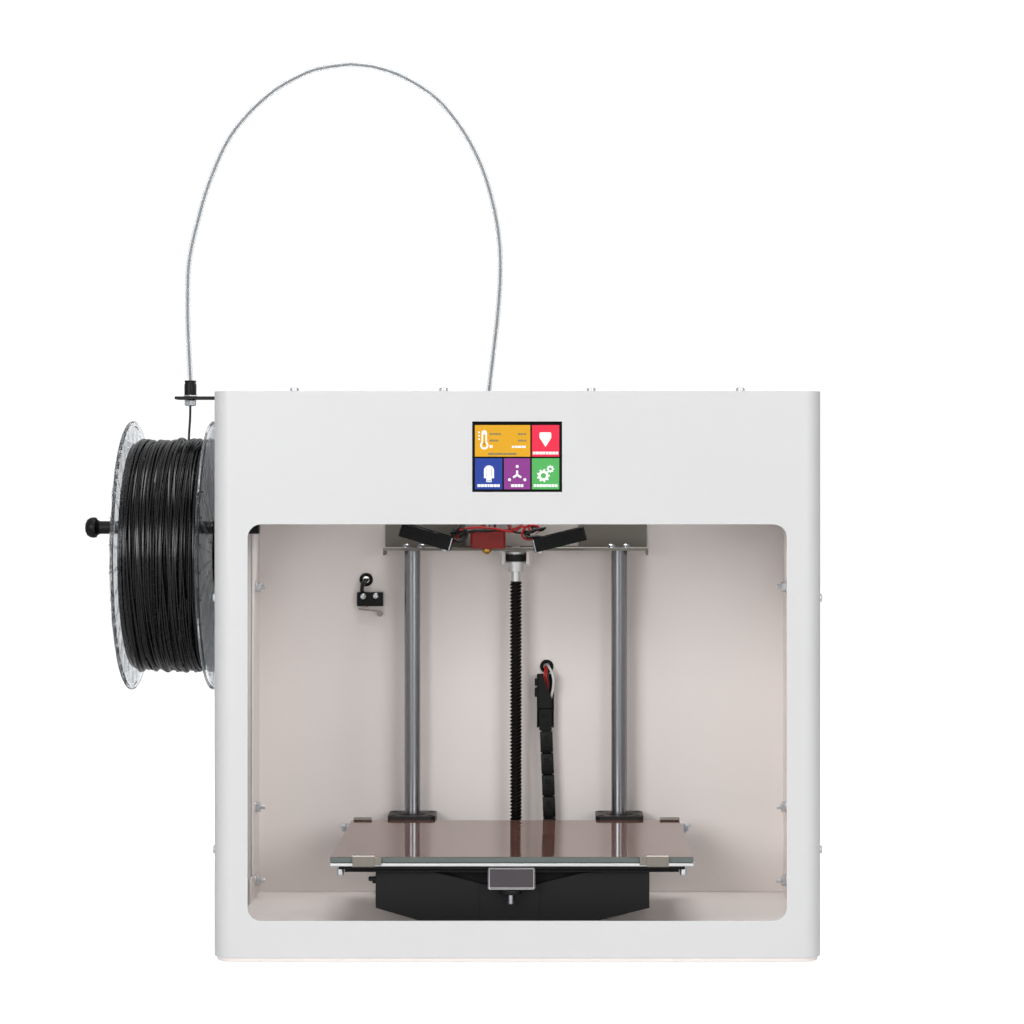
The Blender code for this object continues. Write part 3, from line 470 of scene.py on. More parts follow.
def stroke(work, start, end, width):
    """A straight line of a glyph."""
    way = (Vector(end) - Vector(start)).normalized() * width / 2
    side = Vector((-way.y, way.x))
    ends = [Vector(start) - side, Vector(end) - side, Vector(end) + side, Vector(start) + side]
    flat(work, [tuple(p) for p in ends], GLYPH_FACE, GLYPH_RISE)


def cog(work, across, height, radius, teeth):
    """A small gear wheel seen from its side."""
    outline = []
    for i in range(teeth):
        for turn, reach in ((-0.26, 0.78), (-0.17, 1.0), (0.17, 1.0), (0.26, 0.78)):
            angle = 2 * math.pi * (i + turn) / teeth
            reach_now = reach * radius
            outline.append((across + reach_now * math.cos(angle), height + reach_now * math.sin(angle)))
    flat(work, outline, GLYPH_FACE, GLYPH_RISE)


def label(work, middle, height, widths, tall=0.0018):
    """A row of short bars that stands for a word."""
    gap = 0.0003
    left = middle - (sum(widths) + gap * (len(widths) - 1)) / 2
    for width in widths:
        flat(work, rectangle(left, left + width, height, height + tall), GLYPH_FACE, GLYPH_RISE)
        left += width + gap


glyphs = bmesh.new()
flat(glyphs, capsule(-0.0239, -0.0203, 0.3510, 0.3606), GLYPH_FACE, GLYPH_RISE)
dot(glyphs, -0.0221, 0.3505, 0.0028)
for step in range(3):
    dot(glyphs, -0.0256, 0.3546 + 0.0023 * step, 0.0006)
flat(glyphs, [(0.0150, 0.3586), (0.0150, 0.3556), (0.0191, 0.3494), (0.0229, 0.3556), (0.0229, 0.3586),
              (0.0222, 0.3592), (0.0157, 0.3592)], GLYPH_FACE, GLYPH_RISE)
flat(glyphs, capsule(-0.0223, -0.0156, 0.3284, 0.3370), GLYPH_FACE, GLYPH_RISE)
block(glyphs, at(-0.0207, DETAIL_FACE, 0.3258), at(-0.0172, GLYPH_FACE, 0.3284))
AXES_CENTRE = (0.0000, 0.3306)
for angle, reach in ((90, 0.0030), (212, 0.0032), (328, 0.0032)):
    way = (math.cos(math.radians(angle)), math.sin(math.radians(angle)))
    stroke(glyphs, AXES_CENTRE, [middle + reach * part for middle, part in zip(AXES_CENTRE, way)], 0.0014)
    dot(glyphs, *[middle + 1.9 * reach * part for middle, part in zip(AXES_CENTRE, way)], 0.0010)
dot(glyphs, *AXES_CENTRE, 0.0009)
cog(glyphs, 0.0176, 0.3301, 0.0044, 9)
cog(glyphs, 0.0223, 0.3346, 0.0026, 8)
label(glyphs, -0.0192, 0.3225, (0.0021, 0.0019, 0.0020, 0.0012, 0.0022, 0.0021, 0.0017))
label(glyphs, 0.0000, 0.3225, (0.0020, 0.0018, 0.0019, 0.0017))
label(glyphs, 0.0191, 0.3225, (0.0018, 0.0019, 0.0018, 0.0018, 0.0010, 0.0019, 0.0020, 0.0018))
label(glyphs, 0.0191, 0.3444, (0.0018, 0.0019, 0.0018, 0.0019, 0.0019, 0.0020, 0.0018, 0.0019))
label(glyphs, -0.0175, 0.3488, (0.0014, 0.0004), 0.0017)
label(glyphs, 0.0011, 0.3488, (0.0012, 0.0004, 0.0012, 0.0026, 0.0026), 0.0014)
piece("screen_glyphs", glyphs, screen_look("lit_screen_white", "f4f4f4", 0.2), "cabinet")

for name, colour, outlines, dots in (
    ("temperature", "e3a71f", [capsule(-0.0229, -0.0213, 0.3510, 0.3580)], [(-0.0221, 0.3505, 0.0016)]),
    ("memory_stick", "27429b", [
        rectangle(-0.0210, -0.0207, 0.3290, 0.3350), rectangle(-0.0172, -0.0169, 0.3290, 0.3350),
        rectangle(-0.0200, -0.0193, 0.3262, 0.3272), rectangle(-0.0186, -0.0179, 0.3262, 0.3272),
    ], []),
    ("gears", "56b35e", [], [(0.0176, 0.3301, 0.0018), (0.0223, 0.3346, 0.0010)]),
):
    holes = bmesh.new()
    for outline in outlines:
        flat(holes, outline, DETAIL_FACE, DETAIL_RISE)
    for across, height, radius in dots:
        dot(holes, across, height, radius, DETAIL_FACE, DETAIL_RISE)
    piece("hole_" + name, holes, screen_look("lit_detail_" + name, colour, 0.06), "cabinet")

dim_glyphs = bmesh.new()
label(dim_glyphs, -0.0146, 0.3574, (0.0017, 0.0015, 0.0015, 0.0016, 0.0004), 0.0013)
label(dim_glyphs, 0.0033, 0.3574, (0.0014, 0.0014, 0.0005, 0.0014), 0.0013)
label(dim_glyphs, -0.0155, 0.3530, (0.0016, 0.0014, 0.0016, 0.0004), 0.0013)
label(dim_glyphs, 0.0033, 0.3530, (0.0014, 0.0014, 0.0005, 0.0014), 0.0013)
label(dim_glyphs, -0.0100, 0.3440, (0.0040, 0.0056, 0.0022, 0.0064), 0.0014)
piece("screen_fields", dim_glyphs, screen_look("lit_screen_dim", "8f8358", 0.05), "cabinet")

# ---- Screws and nuts ----
# Zinc-plated M3 and M4 screws and nuts: cold headed, bright with a faint blue cast. They hold the covers,
# the chamber wall, the base and the lift's top bracket.

# Zinc plate: bright but cloudy, as a passivated coat is.
zinc, zinc_tree, _, zinc_place = start_material("zinc_plated_steel", "d3d6da", 0.3, 1.0)
zinc_cloud = add(zinc_tree, "TexNoise", {"Vector": zinc_place, "Scale": 700.0, "Detail": 3.0})
add(zinc_tree, "MapRange", {"Value": zinc_cloud, "To Min": 0.2, "To Max": 0.42}, "Roughness")


def turned(work, outline, place, axis, steps=40, closed=False):
    """A turned shape from its (radius, height) outline, with its axis through a place."""
    before = set(work.verts)
    points = [work.verts.new((radius, 0, height)) for radius, height in outline]
    pairs = list(zip(points, points[1:]))
    if closed:
        pairs.append((points[-1], points[0]))
    lines = [work.edges.new(pair) for pair in pairs]
    bmesh.ops.spin(
        work, geom=points + lines, cent=(0, 0, 0), axis=(0, 0, 1), angle=2 * math.pi, steps=steps,
        use_merge=True, use_duplicate=False,
    )
    bmesh.ops.remove_doubles(work, verts=grown(work, before), dist=1e-7)
    made = grown(work, before)
    turn = Vector(axis).to_track_quat("Z", "Y").to_matrix().to_4x4()
    bmesh.ops.transform(work, matrix=Matrix.Translation(place) @ turn, verts=made)
    return made


def pan_head(work, place, way, radius, height):
    """A pan-head screw seen from outside: a low dome with a driver recess."""
    outline = [(0, height * 0.45), (radius * 0.3, height * 0.45), (radius * 0.38, height * 0.96),
               (radius * 0.6, height), (radius * 0.86, height * 0.82), (radius, height * 0.45),
               (radius, 0), (0, 0)]
    turned(work, outline, place, way, 20)


LEFT, RIGHT, UP, FORWARD = Vector((-1, 0, 0)), Vector((1, 0, 0)), Vector((0, 0, 1)), Vector((0, -1, 0))
SHELL_TOP = shell_high.z
cover_screws = bmesh.new()
for across in (-0.151, -0.050, 0.050, 0.151):
    for depth in (0.014, 0.397):
        seat = at(across, depth, SHELL_TOP)
        disc(cover_screws, seat, seat + UP * 0.0026, 0.0029, edge=0.0006)
for side, way in ((-1, LEFT), (1, RIGHT)):
    for height in (0.0755, 0.247):
        pan_head(cover_screws, at(side * 0.2051, 0.025, height), way, 0.0029, 0.0022)
        pan_head(cover_screws, at(side * 0.2051, 0.275, height), way, 0.0029, 0.0022)
piece("cover_screws", cover_screws, zinc, "cabinet")

WALL_FACE = 0.2017
wall_nuts = bmesh.new()
for side, way in ((-1, RIGHT), (1, LEFT)):
    for height in (0.246, 0.079, 0.023):
        seat = at(side * WALL_FACE, 0.228, height)
        disc(wall_nuts, seat, seat + way * 0.0008, 0.0045, edge=0.0002, sides=24)
        disc(wall_nuts, seat + way * 0.0008, seat + way * 0.004, 0.0040, edge=0.0003, sides=6)
        disc(wall_nuts, seat + way * 0.004, seat + way * 0.0075, 0.0019, edge=0.0004, sides=16)
piece("wall_nuts", wall_nuts, zinc, "cabinet")

# ---- Chamber wall fittings ----
# Black rubber grommets where the cables come through the wall, and the wires in them: PVC insulation,
# red, white and black.

# EPDM rubber: matt and a little dusty.
rubber, rubber_tree, rubber_shader, rubber_place = start_material("moulded_rubber", "151515", 0.72)
rubber_shader.inputs["Specular IOR Level"].default_value = 0.22
rubber_dust = add(rubber_tree, "TexNoise", {"Vector": rubber_place, "Scale": 400.0, "Detail": 4.0})
add(rubber_tree, "MixRGB", {
    "Fac": rubber_dust, "Color1": linear("0a0a0a"), "Color2": linear("151516"),
}, "Base Color")


def insulation(name, colour):
    """Extruded PVC: smooth, with a soft shine and a slightly uneven tint."""
    made, tree, shader, place = start_material(name, colour, 0.38)
    cloud = add(tree, "TexNoise", {"Vector": place, "Scale": 300.0, "Detail": 2.0})
    add(tree, "MixRGB", {
        "Fac": cloud, "Color1": linear(colour),
        "Color2": tuple(c * 0.8 for c in linear(colour)[:3]) + (1.0,),
    }, "Base Color")
    return made


red_pvc = insulation("red_extruded_pvc", "c8231c")
white_pvc = insulation("white_extruded_pvc", "e6e3df")
black_pvc = insulation("black_extruded_pvc", "141414")
BACK_FACE = 0.255
GROMMET = [(0.0026, 0.0), (0.0052, 0.0), (0.0052, 0.0006), (0.0050, 0.0018), (0.0042, 0.0026),
           (0.0032, 0.0026), (0.0026, 0.0020)]
CHAIN_HOLE = (0.0196, 0.1837)
SWITCH_HOLE = (-0.1194, 0.2505)
grommets = bmesh.new()
for across, height in (CHAIN_HOLE, SWITCH_HOLE):
    turned(grommets, GROMMET, at(across, BACK_FACE, height), FORWARD, 40, closed=True)
piece("wall_grommets", grommets, rubber, "cabinet")


def lead(*places, spacing=0.002):
    """A wire's places along a smooth curve through the given (across, depth, height) points."""
    return smooth_route([at(*place) for place in places], spacing)


chain_across, chain_height = CHAIN_HOLE
for name, colour, shift, side in (
    ("bed_wire_red_a", red_pvc, -0.0012, 0.0), ("bed_wire_red_b", red_pvc, 0.0004, 0.0016),
    ("bed_wire_black", black_pvc, 0.0002, 0.0030),
):
    route = lead(
        (chain_across + shift, 0.2600, chain_height + shift * 0.6),
        (chain_across + shift, 0.2535, chain_height),
        (0.0184 + side * 0.8, 0.2492, 0.1805), (0.0176 + side, 0.2482, 0.1765),
        (0.0188 + side, 0.2482, 0.1700), (0.0192 + side * 0.8, 0.2485, 0.1600),
    )
    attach(wire(name, [route], 0.0008, colour), "cabinet")
route = lead(
    (chain_across + 0.0008, 0.2600, chain_height + 0.0010),
    (chain_across + 0.0008, 0.2535, chain_height + 0.0010),
    (0.0226, 0.2470, 0.1815), (0.0243, 0.2440, 0.1770), (0.0248, 0.2437, 0.1725), (0.0242, 0.2440, 0.1665),
    (0.0228, 0.2458, 0.1605), (0.0222, 0.2475, 0.1560),
)
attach(wire("bed_wire_white", [route], 0.0010, white_pvc), "cabinet")

# ---- Height switch ----
# A micro switch in a black moulded case, held to the wall by two pan-head screws. Its sprung steel lever
# carries a roller that the bed's finger meets at the top of its travel.

# ABS: satin black with a fine moulded grain, drawn at 0.8 mm.
ABS_GRAIN = 0.0008
abs_black, abs_tree, abs_shader, abs_place = start_material("moulded_abs", "0c0c0d", 0.42)
abs_shader.inputs["Specular IOR Level"].default_value = 0.22
abs_grain = add(abs_tree, "TexNoise", {"Vector": abs_place, "Scale": 1 / ABS_GRAIN, "Detail": 2.0})
add(abs_tree, "MapRange", {"Value": abs_grain, "To Min": 0.34, "To Max": 0.52}, "Roughness")
add(abs_tree, "Bump", {"Height": abs_grain, "Strength": 0.15, "Distance": 0.0001}, "Normal")

finished_copy("switch_case", "endstop_body", abs_black, "cabinet", 0.0006, 3)
switch_screws = bmesh.new()
for across, height in ((-0.1213, 0.2378), (-0.1116, 0.2382)):
    pan_head(switch_screws, at(across, 0.2490, height), FORWARD, 0.0024, 0.0022)
piece("switch_screws", switch_screws, zinc, "cabinet")
plunger = bmesh.new()
disc(plunger, at(-0.1186, 0.2518, 0.2297), at(-0.1186, 0.2518, 0.2306), 0.0010, edge=0.0003)
piece("switch_plunger", plunger, red_pvc, "cabinet")

# Spring steel: thin bright strip with fine rolling lines along it.
spring_steel, spring_tree, _, spring_place = start_material(
    "rolled_spring_steel", "8f8a82", 0.34, 1.0
)
spring_lines = add(spring_tree, "TexWave", {
    "Vector": spring_place, "Scale": 900.0, "Distortion": 6.0, "Detail": 2.0, "bands_direction": "Z",
})
add(spring_tree, "MapRange", {
    "Value": spring_lines.outputs["Fac"], "To Min": 0.2, "To Max": 0.4,
}, "Roughness")
finished_copy("switch_lever", "endstop_lever", spring_steel, "endstop_lever", 0.0001, 1)

switch_across, switch_height = SWITCH_HOLE
for name, shift, loop in (("switch_wire_a", -0.0010, 0.0034), ("switch_wire_b", 0.0012, 0.0058)):
    route = lead(
        (switch_across + shift, 0.2600, switch_height), (switch_across + shift, 0.2520, switch_height),
        (switch_across + shift - 0.0016, 0.2478, switch_height - 0.0024),
        (-0.1245 + loop * 0.5, 0.2472, 0.2440), (-0.1248 + loop * 0.6, 0.2500, 0.2412),
        (-0.1240 + loop * 0.6, 0.2518, 0.2396),
    )
    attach(wire(name, [route], 0.0009, black_pvc), "cabinet")

# ---- Bed cable chain ----
# A black nylon energy chain of hinged links, 17 mm long and 9.6 mm wide, that hangs from a clamp on the
# wall, turns under the bed and rises to the bed's arm. Each link has two pin bosses on its face.

CHAIN_DEPTH = 0.2465
CHAIN_HALF_DEPTH = 0.0045
CHAIN_HALF = 0.0048
LINK_FACE = 0.0006 - CHAIN_HALF_DEPTH
PIN_BOSS = [(0.0008, 0.0), (0.0020, 0.0), (0.0020, 0.0005), (0.0017, 0.0007), (0.0008, 0.0007)]
chain_line = [(0.0191, 0.1348), (0.0197, 0.1181), (0.0205, 0.1009), (0.0211, 0.0836), (0.0217, 0.0660),
              (0.0218, 0.0450)]
BEND_RADIUS = 0.0125
BEND_DROP = 1.2
for i in range(1, 9):
    angle = math.pi + math.pi * i / 8
    chain_line.append((0.0218 + BEND_RADIUS * (1 + math.cos(angle)),
                       0.040 + BEND_RADIUS * BEND_DROP * math.sin(angle)))
chain_line.append((0.0470, 0.0500))
LINK_PITCH = 0.0172
chain_spots = smooth_route([at(across, CHAIN_DEPTH, height) for across, height in chain_line], LINK_PITCH)
chain = bmesh.new()
for spot, following in zip(chain_spots, chain_spots[1:]):
    way = (following - spot).normalized()
    middle = (spot + following) / 2
    before = set(chain.verts)
    half = (following - spot).length / 2
    block(chain, Vector((-CHAIN_HALF, -CHAIN_HALF_DEPTH + 0.0006, -half + 0.0006)),
          Vector((CHAIN_HALF, CHAIN_HALF_DEPTH, half - 0.0006)), 0.0005, 2)
    block(chain, Vector((-CHAIN_HALF + 0.0012, -CHAIN_HALF_DEPTH + 0.0010, -half - 0.0008)),
          Vector((CHAIN_HALF - 0.0012, CHAIN_HALF_DEPTH - 0.0006, half + 0.0008)), 0.0004, 1)
    for across, height in ((-0.0006, half * 0.5), (0.0006, -half * 0.4)):
        turned(chain, PIN_BOSS, Vector((across, LINK_FACE, height)), FORWARD, 20, closed=True)
    turn = Vector((0, 0, 1)).rotation_difference(way).to_matrix().to_4x4()
    bmesh.ops.transform(chain, matrix=Matrix.Translation(middle) @ turn, verts=grown(chain, before))
bmesh.ops.recalc_face_normals(chain, faces=chain.faces)
chain_mesh = bpy.data.meshes.new("cable_chain")
chain.to_mesh(chain_mesh)
chain.free()
# Nylon: blacker and duller than the switch's case, with faint grey scuffs on its rubbed faces.
nylon, nylon_tree, nylon_shader, nylon_place = start_material("moulded_nylon", "0e0d0e", 0.5)
nylon_shader.inputs["Specular IOR Level"].default_value = 0.22
nylon_scuff = add(nylon_tree, "TexNoise", {"Vector": nylon_place, "Scale": 240.0, "Detail": 5.0})
nylon_ramp = add(nylon_tree, "MapRange", {
    "Value": nylon_scuff, "From Min": 0.55, "From Max": 0.8, "To Min": 0.0, "To Max": 0.5,
})
add(nylon_tree, "MixRGB", {
    "Fac": nylon_ramp, "Color1": linear("090809"), "Color2": linear("242324"),
}, "Base Color")
cable_chain = enter("cable_chain", chain_mesh, nylon)
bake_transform(cable_chain)
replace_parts(cable_chain, "drag_chain")

clamp = bmesh.new()
flat(clamp, [
    (0.0132, 0.1525), (0.0234, 0.1525), (0.0234, 0.1600), (0.0222, 0.1633), (0.0199, 0.1689),
    (0.0166, 0.1781),
    (0.0143, 0.1781), (0.0132, 0.1770),
], 0.2440, 0.0012)
block(clamp, at(0.0139, 0.2428, 0.1354), at(0.0234, 0.2520, 0.1518), 0.0005)
for across, height in ((0.0180, 0.1477), (0.0194, 0.1402)):
    turned(clamp, PIN_BOSS, at(across, 0.2428, height), FORWARD, 20, closed=True)
block(clamp, at(0.0120, 0.2520, 0.1374), at(0.0251, 0.2546, 0.1781), 0.0006)
for low, high in ((0.0120, 0.0133), (0.0238, 0.0251)):
    block(clamp, at(low, 0.2452, 0.1374), at(high, 0.2540, 0.1778), 0.0004)
for low, high in ((0.1609, 0.1677), (0.1693, 0.1746)):
    block(clamp, at(0.0103, 0.2460, low), at(0.0124, 0.2546, high), 0.0004, 1)
piece("chain_clamp", clamp, nylon, "cabinet")

# ---- Bed lift ----
# Two 12 mm ground rods guide the bed and a three-start trapezoidal screw lifts it, driven by a belt from
# the motor behind the wall. A folded bracket, painted grey, holds their top ends.

# Ground steel: a bright, nearly mirror finish with very fine rings from centreless grinding, drawn at
# half a millimetre.
GRIND_LINES = 0.0005
ground, ground_tree, _, ground_place = start_material("centreless_ground_steel", "8d8e92", 0.24, 1.0)
ground_rings = add(ground_tree, "Mapping", {"Vector": ground_place, "Scale": (0.02, 0.02, 1.0)})
ground_noise = add(ground_tree, "TexNoise", {
    "Vector": ground_rings, "Scale": 1 / GRIND_LINES, "Detail": 2.0,
})
add(ground_tree, "MapRange", {
    "Value": ground_noise, "To Min": 0.2, "To Max": 0.3,
}, "Roughness")

LIFT_X = -0.004
LIFT_DEPTH = 0.235
ROD_OFFSET = 0.0788
ROD_RADIUS = 0.006
for side, across in (("left", LIFT_X - ROD_OFFSET), ("right", LIFT_X + ROD_OFFSET)):
    rod_low, rod_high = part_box("z_rod_" + side)
    work = bmesh.new()
    disc(work, at(across, LIFT_DEPTH, rod_low.z), at(across, LIFT_DEPTH, rod_high.z), ROD_RADIUS,
         edge=0.0006, sides=64)
    lift_rod = piece("lift_rod_" + side, work, ground, "cabinet")
    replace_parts(lift_rod, "z_rod_" + side)

# Cast aluminium collars seat the rods' lower ends.
cast, cast_tree, _, cast_place = start_material("die_cast_aluminium", "c2c3c4", 0.4, 1.0)
cast_grain = add(cast_tree, "TexNoise", {"Vector": cast_place, "Scale": 900.0, "Detail": 3.0})
add(cast_tree, "Bump", {"Height": cast_grain, "Strength": 0.3, "Distance": 0.0002}, "Normal")
collars = bmesh.new()
for across in (LIFT_X - ROD_OFFSET, LIFT_X + ROD_OFFSET):
    for low, high, radius in ((0.0102, 0.0165, 0.0105), (0.0102, 0.0128, 0.0150)):
        bore = ROD_RADIUS + 0.0001
        turned(collars, [(bore, low), (radius, low), (radius, high), (bore, high)],
               at(across, LIFT_DEPTH, 0), UP, 48, closed=True)
piece("rod_collars", collars, cast, "cabinet")

# Black oxide: the rolled thread is nearly black, with an oily shine on its crests.
oxide, oxide_tree, _, oxide_place = start_material("black_oxide_steel", "1b1719", 0.3, 0.85)
oxide_film = add(oxide_tree, "TexNoise", {"Vector": oxide_place, "Scale": 500.0, "Detail": 3.0})
add(oxide_tree, "MapRange", {"Value": oxide_film, "To Min": 0.2, "To Max": 0.45}, "Roughness")

LEAD = 0.008
STARTS = 3
THREAD_CORE, THREAD_CREST = 0.0033, 0.0045
THREAD_LOW, THREAD_HIGH = 0.0105, 0.2500
thread = bmesh.new()
pitch = LEAD / STARTS
profile = []
for start in range(STARTS):
    for radius, share in ((THREAD_CORE, 0.0), (THREAD_CREST, 0.25), (THREAD_CREST, 0.45), (THREAD_CORE, 0.7)):
        profile.append((radius, (start + share) * pitch))
profile.append((THREAD_CORE, LEAD))
TURNS = math.ceil((THREAD_HIGH - THREAD_LOW) / LEAD) + 1
points = [thread.verts.new((radius, 0, THREAD_LOW - LEAD + height)) for radius, height in profile]
lines = [thread.edges.new(pair) for pair in zip(points, points[1:])]
STEPS = 24
bmesh.ops.spin(
    thread, geom=points + lines, cent=(0, 0, 0), axis=(0, 0, 1), dvec=(0, 0, LEAD / STEPS),
    angle=2 * math.pi * TURNS, steps=STEPS * TURNS, use_duplicate=False,
)
bmesh.ops.remove_doubles(thread, verts=thread.verts, dist=1e-6)
for height, way in ((THREAD_LOW, -1), (THREAD_HIGH, 1)):
    bmesh.ops.bisect_plane(
        thread, geom=thread.verts[:] + thread.edges[:] + thread.faces[:], plane_co=(0, 0, height),
        plane_no=(0, 0, way), clear_outer=True,
    )
bmesh.ops.holes_fill(thread, edges=[e for e in thread.edges if e.is_boundary], sides=0)
bmesh.ops.translate(thread, vec=at(LIFT_X, LIFT_DEPTH, 0), verts=thread.verts)
lead_screw = piece("lead_screw", thread, oxide, "z_screw", 35)
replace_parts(lead_screw, "z_screw")

# The hub and pulley on the screw's top are turned aluminium with fine tool rings.
turned_alloy, alloy_tree, _, alloy_place = start_material("turned_aluminium", "e2e2e3", 0.42, 0.75)
alloy_rings = add(alloy_tree, "Mapping", {"Vector": alloy_place, "Scale": (0.03, 0.03, 1.0)})
alloy_noise = add(alloy_tree, "TexNoise", {"Vector": alloy_rings, "Scale": 3000.0, "Detail": 2.0})
add(alloy_tree, "MapRange", {"Value": alloy_noise, "To Min": 0.36, "To Max": 0.5}, "Roughness")
screw_top = bmesh.new()
turned(screw_top, [(0, 0.2765), (0.003, 0.2765), (0.003, 0.2728), (0.0076, 0.2728), (0.0078, 0.2726),
                   (0.0078, 0.2714),
                   (0.0062, 0.2712), (0.0062, 0.2650), (0.0078, 0.2648), (0.0078, 0.2638), (0.0059, 0.2636),
                   (0.0059, 0.2576), (0.0055, 0.2572), (0.0035, 0.2572), (0.0035, 0.2500), (0, 0.2500)],
       at(LIFT_X, LIFT_DEPTH, 0), UP, 48)
disc(screw_top, at(LIFT_X, LIFT_DEPTH - 0.0052, 0.2603), at(LIFT_X, LIFT_DEPTH - 0.0066, 0.2603), 0.0012,
     edge=0.0002, sides=16)
piece("screw_pulley", screw_top, turned_alloy, "z_screw")

# Grey paint over folded steel: flat and even, darker where it turns from the light.
grey_paint, grey_tree, _, grey_place = start_material("grey_painted_steel", "8b867d", 0.5)
grey_grain = add(grey_tree, "TexNoise", {"Vector": grey_place, "Scale": 800.0, "Detail": 3.0})
add(grey_tree, "Bump", {"Height": grey_grain, "Strength": 0.15, "Distance": 0.0001}, "Normal")
grey_cloud = add(grey_tree, "TexNoise", {"Vector": grey_place, "Scale": 14.0, "Detail": 2.0})
add(grey_tree, "MixRGB", {
    "Fac": grey_cloud, "Color1": linear("8f8a81"), "Color2": linear("837e75"),
}, "Base Color")
finished_copy("lift_bracket", "z_top_bracket", grey_paint, "cabinet", 0.0004, 2)
bracket_low, bracket_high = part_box("z_top_bracket")
bracket_screws = bmesh.new()
for across in (-0.0871, -0.0755, 0.0689, 0.0799):
    pan_head(bracket_screws, at(across, 0.2262, 0.2757), UP, 0.0029, 0.0028)
piece("bracket_screws", bracket_screws, zinc, "cabinet")
TAB = 0.0011
end_tabs = bmesh.new()
for low, high in ((bracket_low.x, bracket_low.x + TAB), (bracket_high.x - TAB, bracket_high.x)):
    block(end_tabs, Vector((low, bracket_low.y, 0.2700)),
          Vector((high, bracket_low.y + 0.030, 0.2742)), 0.0005)
piece("bracket_tabs", end_tabs, grey_paint, "cabinet")
# The bearing legs take the lighter copy of the coat: painted light for the shade that the bracket's lip casts
# on them.
bearing_legs = bmesh.new()
for low, high in ((-0.0146, -0.0121), (0.0041, 0.0066)):
    block(bearing_legs, at(low, 0.2255, 0.2632), at(high, 0.2435, 0.2736), 0.0005)
for low, high in ((-0.0166, -0.0121), (0.0041, 0.0086)):
    block(bearing_legs, at(low, 0.2255, 0.2722), at(high, 0.2435, 0.2736), 0.0004)
piece("screw_bearing_legs", bearing_legs, shade_lifted_powder, "cabinet")

# Neoprene timing belt: matt black with moulded teeth on its inner face.
neoprene, neoprene_tree, _, neoprene_place = start_material("moulded_neoprene", "121212", 0.66)
neoprene_rib = add(neoprene_tree, "TexNoise", {"Vector": neoprene_place, "Scale": 1200.0, "Detail": 2.0})
add(neoprene_tree, "Bump", {
    "Height": neoprene_rib, "Strength": 0.25, "Distance": 0.0001,
}, "Normal")


def toothed_belt(first, length, radius, thickness, width, along, up, pitch=0.003):
    """A belt round two pulleys of one size: teeth inside, smooth outside. It stands for a CAD belt."""
    work = bmesh.new()
    side = Vector(along).cross(Vector(up))
    round_length = math.pi * radius
    whole = 2 * length + 2 * round_length
    teeth = round(whole / pitch)
    count = teeth * 4
    inner, outer = [], []
    for i in range(count):
        run = whole * i / count
        depth = 0.0004 if i % 4 < 2 else 0.0
        if run < length:
            spot, out = along * run - side * radius, -side
        elif run < length + round_length:
            angle = (run - length) / radius
            out = -side * math.cos(angle) + along * math.sin(angle)
            spot = along * length + out * radius
        elif run < 2 * length + round_length:
            spot, out = along * (2 * length + round_length - run) + side * radius, side
        else:
            angle = (run - 2 * length - round_length) / radius
            out = side * math.cos(angle) - along * math.sin(angle)
            spot = out * radius
        inner.append(first + spot + out * (0.0004 - depth))
        outer.append(first + spot + out * thickness)
    ring_in = [work.verts.new(p - up * width / 2) for p in inner]
    ring_out = [work.verts.new(p - up * width / 2) for p in outer]
    edges = []
    for ring in (ring_in, ring_out):
        edges += [work.edges.new((ring[i], ring[(i + 1) % count])) for i in range(count)]
    faces = bmesh.ops.bridge_loops(work, edges=edges)["faces"]
    bmesh.ops.translate(
        work, vec=up * width, verts=raised(bmesh.ops.extrude_face_region(work, geom=faces))
    )
    return work


lift_belt = toothed_belt(
    at(LIFT_X, LIFT_DEPTH, 0.26795), 0.065, 0.0065, 0.0012, 0.0053,
    Vector((0, 1, 0)), Vector((0, 0, 1)),
)
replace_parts(piece("lift_belt", lift_belt, neoprene, "cabinet", 20), "z_belt")

# ---- Bed ----
# A heated aluminium plate on a folded black carrier, with a sheet of glass clipped on top: brown mirror
# film over 4 mm float glass, whose edges show green.

# Mirror film: brown, glossy, with specks of dust and a few faint cleaning smears.
film, film_tree, film_shader, film_place = start_material("bronze_mirror_film", "6d4b41", 0.045)
film_shader.inputs["IOR"].default_value = 1.62
film_smear = add(film_tree, "TexNoise", {
    "Vector": film_place, "Scale": 30.0, "Detail": 4.0, "Distortion": 1.2,
})
add(film_tree, "MapRange", {"Value": film_smear, "To Min": 0.02, "To Max": 0.09}, "Roughness")
film_dust = add(film_tree, "TexVoronoi", {"Vector": film_place, "Scale": 160.0, "Randomness": 1.0})
film_speck = add(film_tree, "MapRange", {
    "Value": film_dust, "From Min": 0.06, "From Max": 0.1, "To Min": 0.55, "To Max": 0.0,
})
add(film_tree, "MixRGB", {
    "Fac": film_speck, "Color1": linear("6d4b41"), "Color2": linear("b7a59c"),
}, "Base Color")

# Float glass: grey-green at its cut edge, which is arrissed and slightly frosted.
float_glass, float_tree, _, float_place = start_material("cut_float_glass", "606966", 0.18)
float_bump = add(float_tree, "TexNoise", {"Vector": float_place, "Scale": 500.0, "Detail": 2.0})
add(float_tree, "MapRange", {"Value": float_bump, "To Min": 0.1, "To Max": 0.3}, "Roughness")

glass_low, glass_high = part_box("glass_plate")
FILM_THICKNESS = 0.00015
glass = bmesh.new()
block(glass, glass_low, glass_high - Vector((0, 0, FILM_THICKNESS)), 0.0005, 2)
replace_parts(piece("glass_sheet", glass, float_glass, "bed"), "glass_plate")
mirror = bmesh.new()
block(mirror, Vector((glass_low.x + 0.0006, glass_low.y + 0.0006, glass_high.z - FILM_THICKNESS)),
      glass_high - Vector((0.0006, 0.0006, 0)))
piece("mirror_film", mirror, film, "bed")

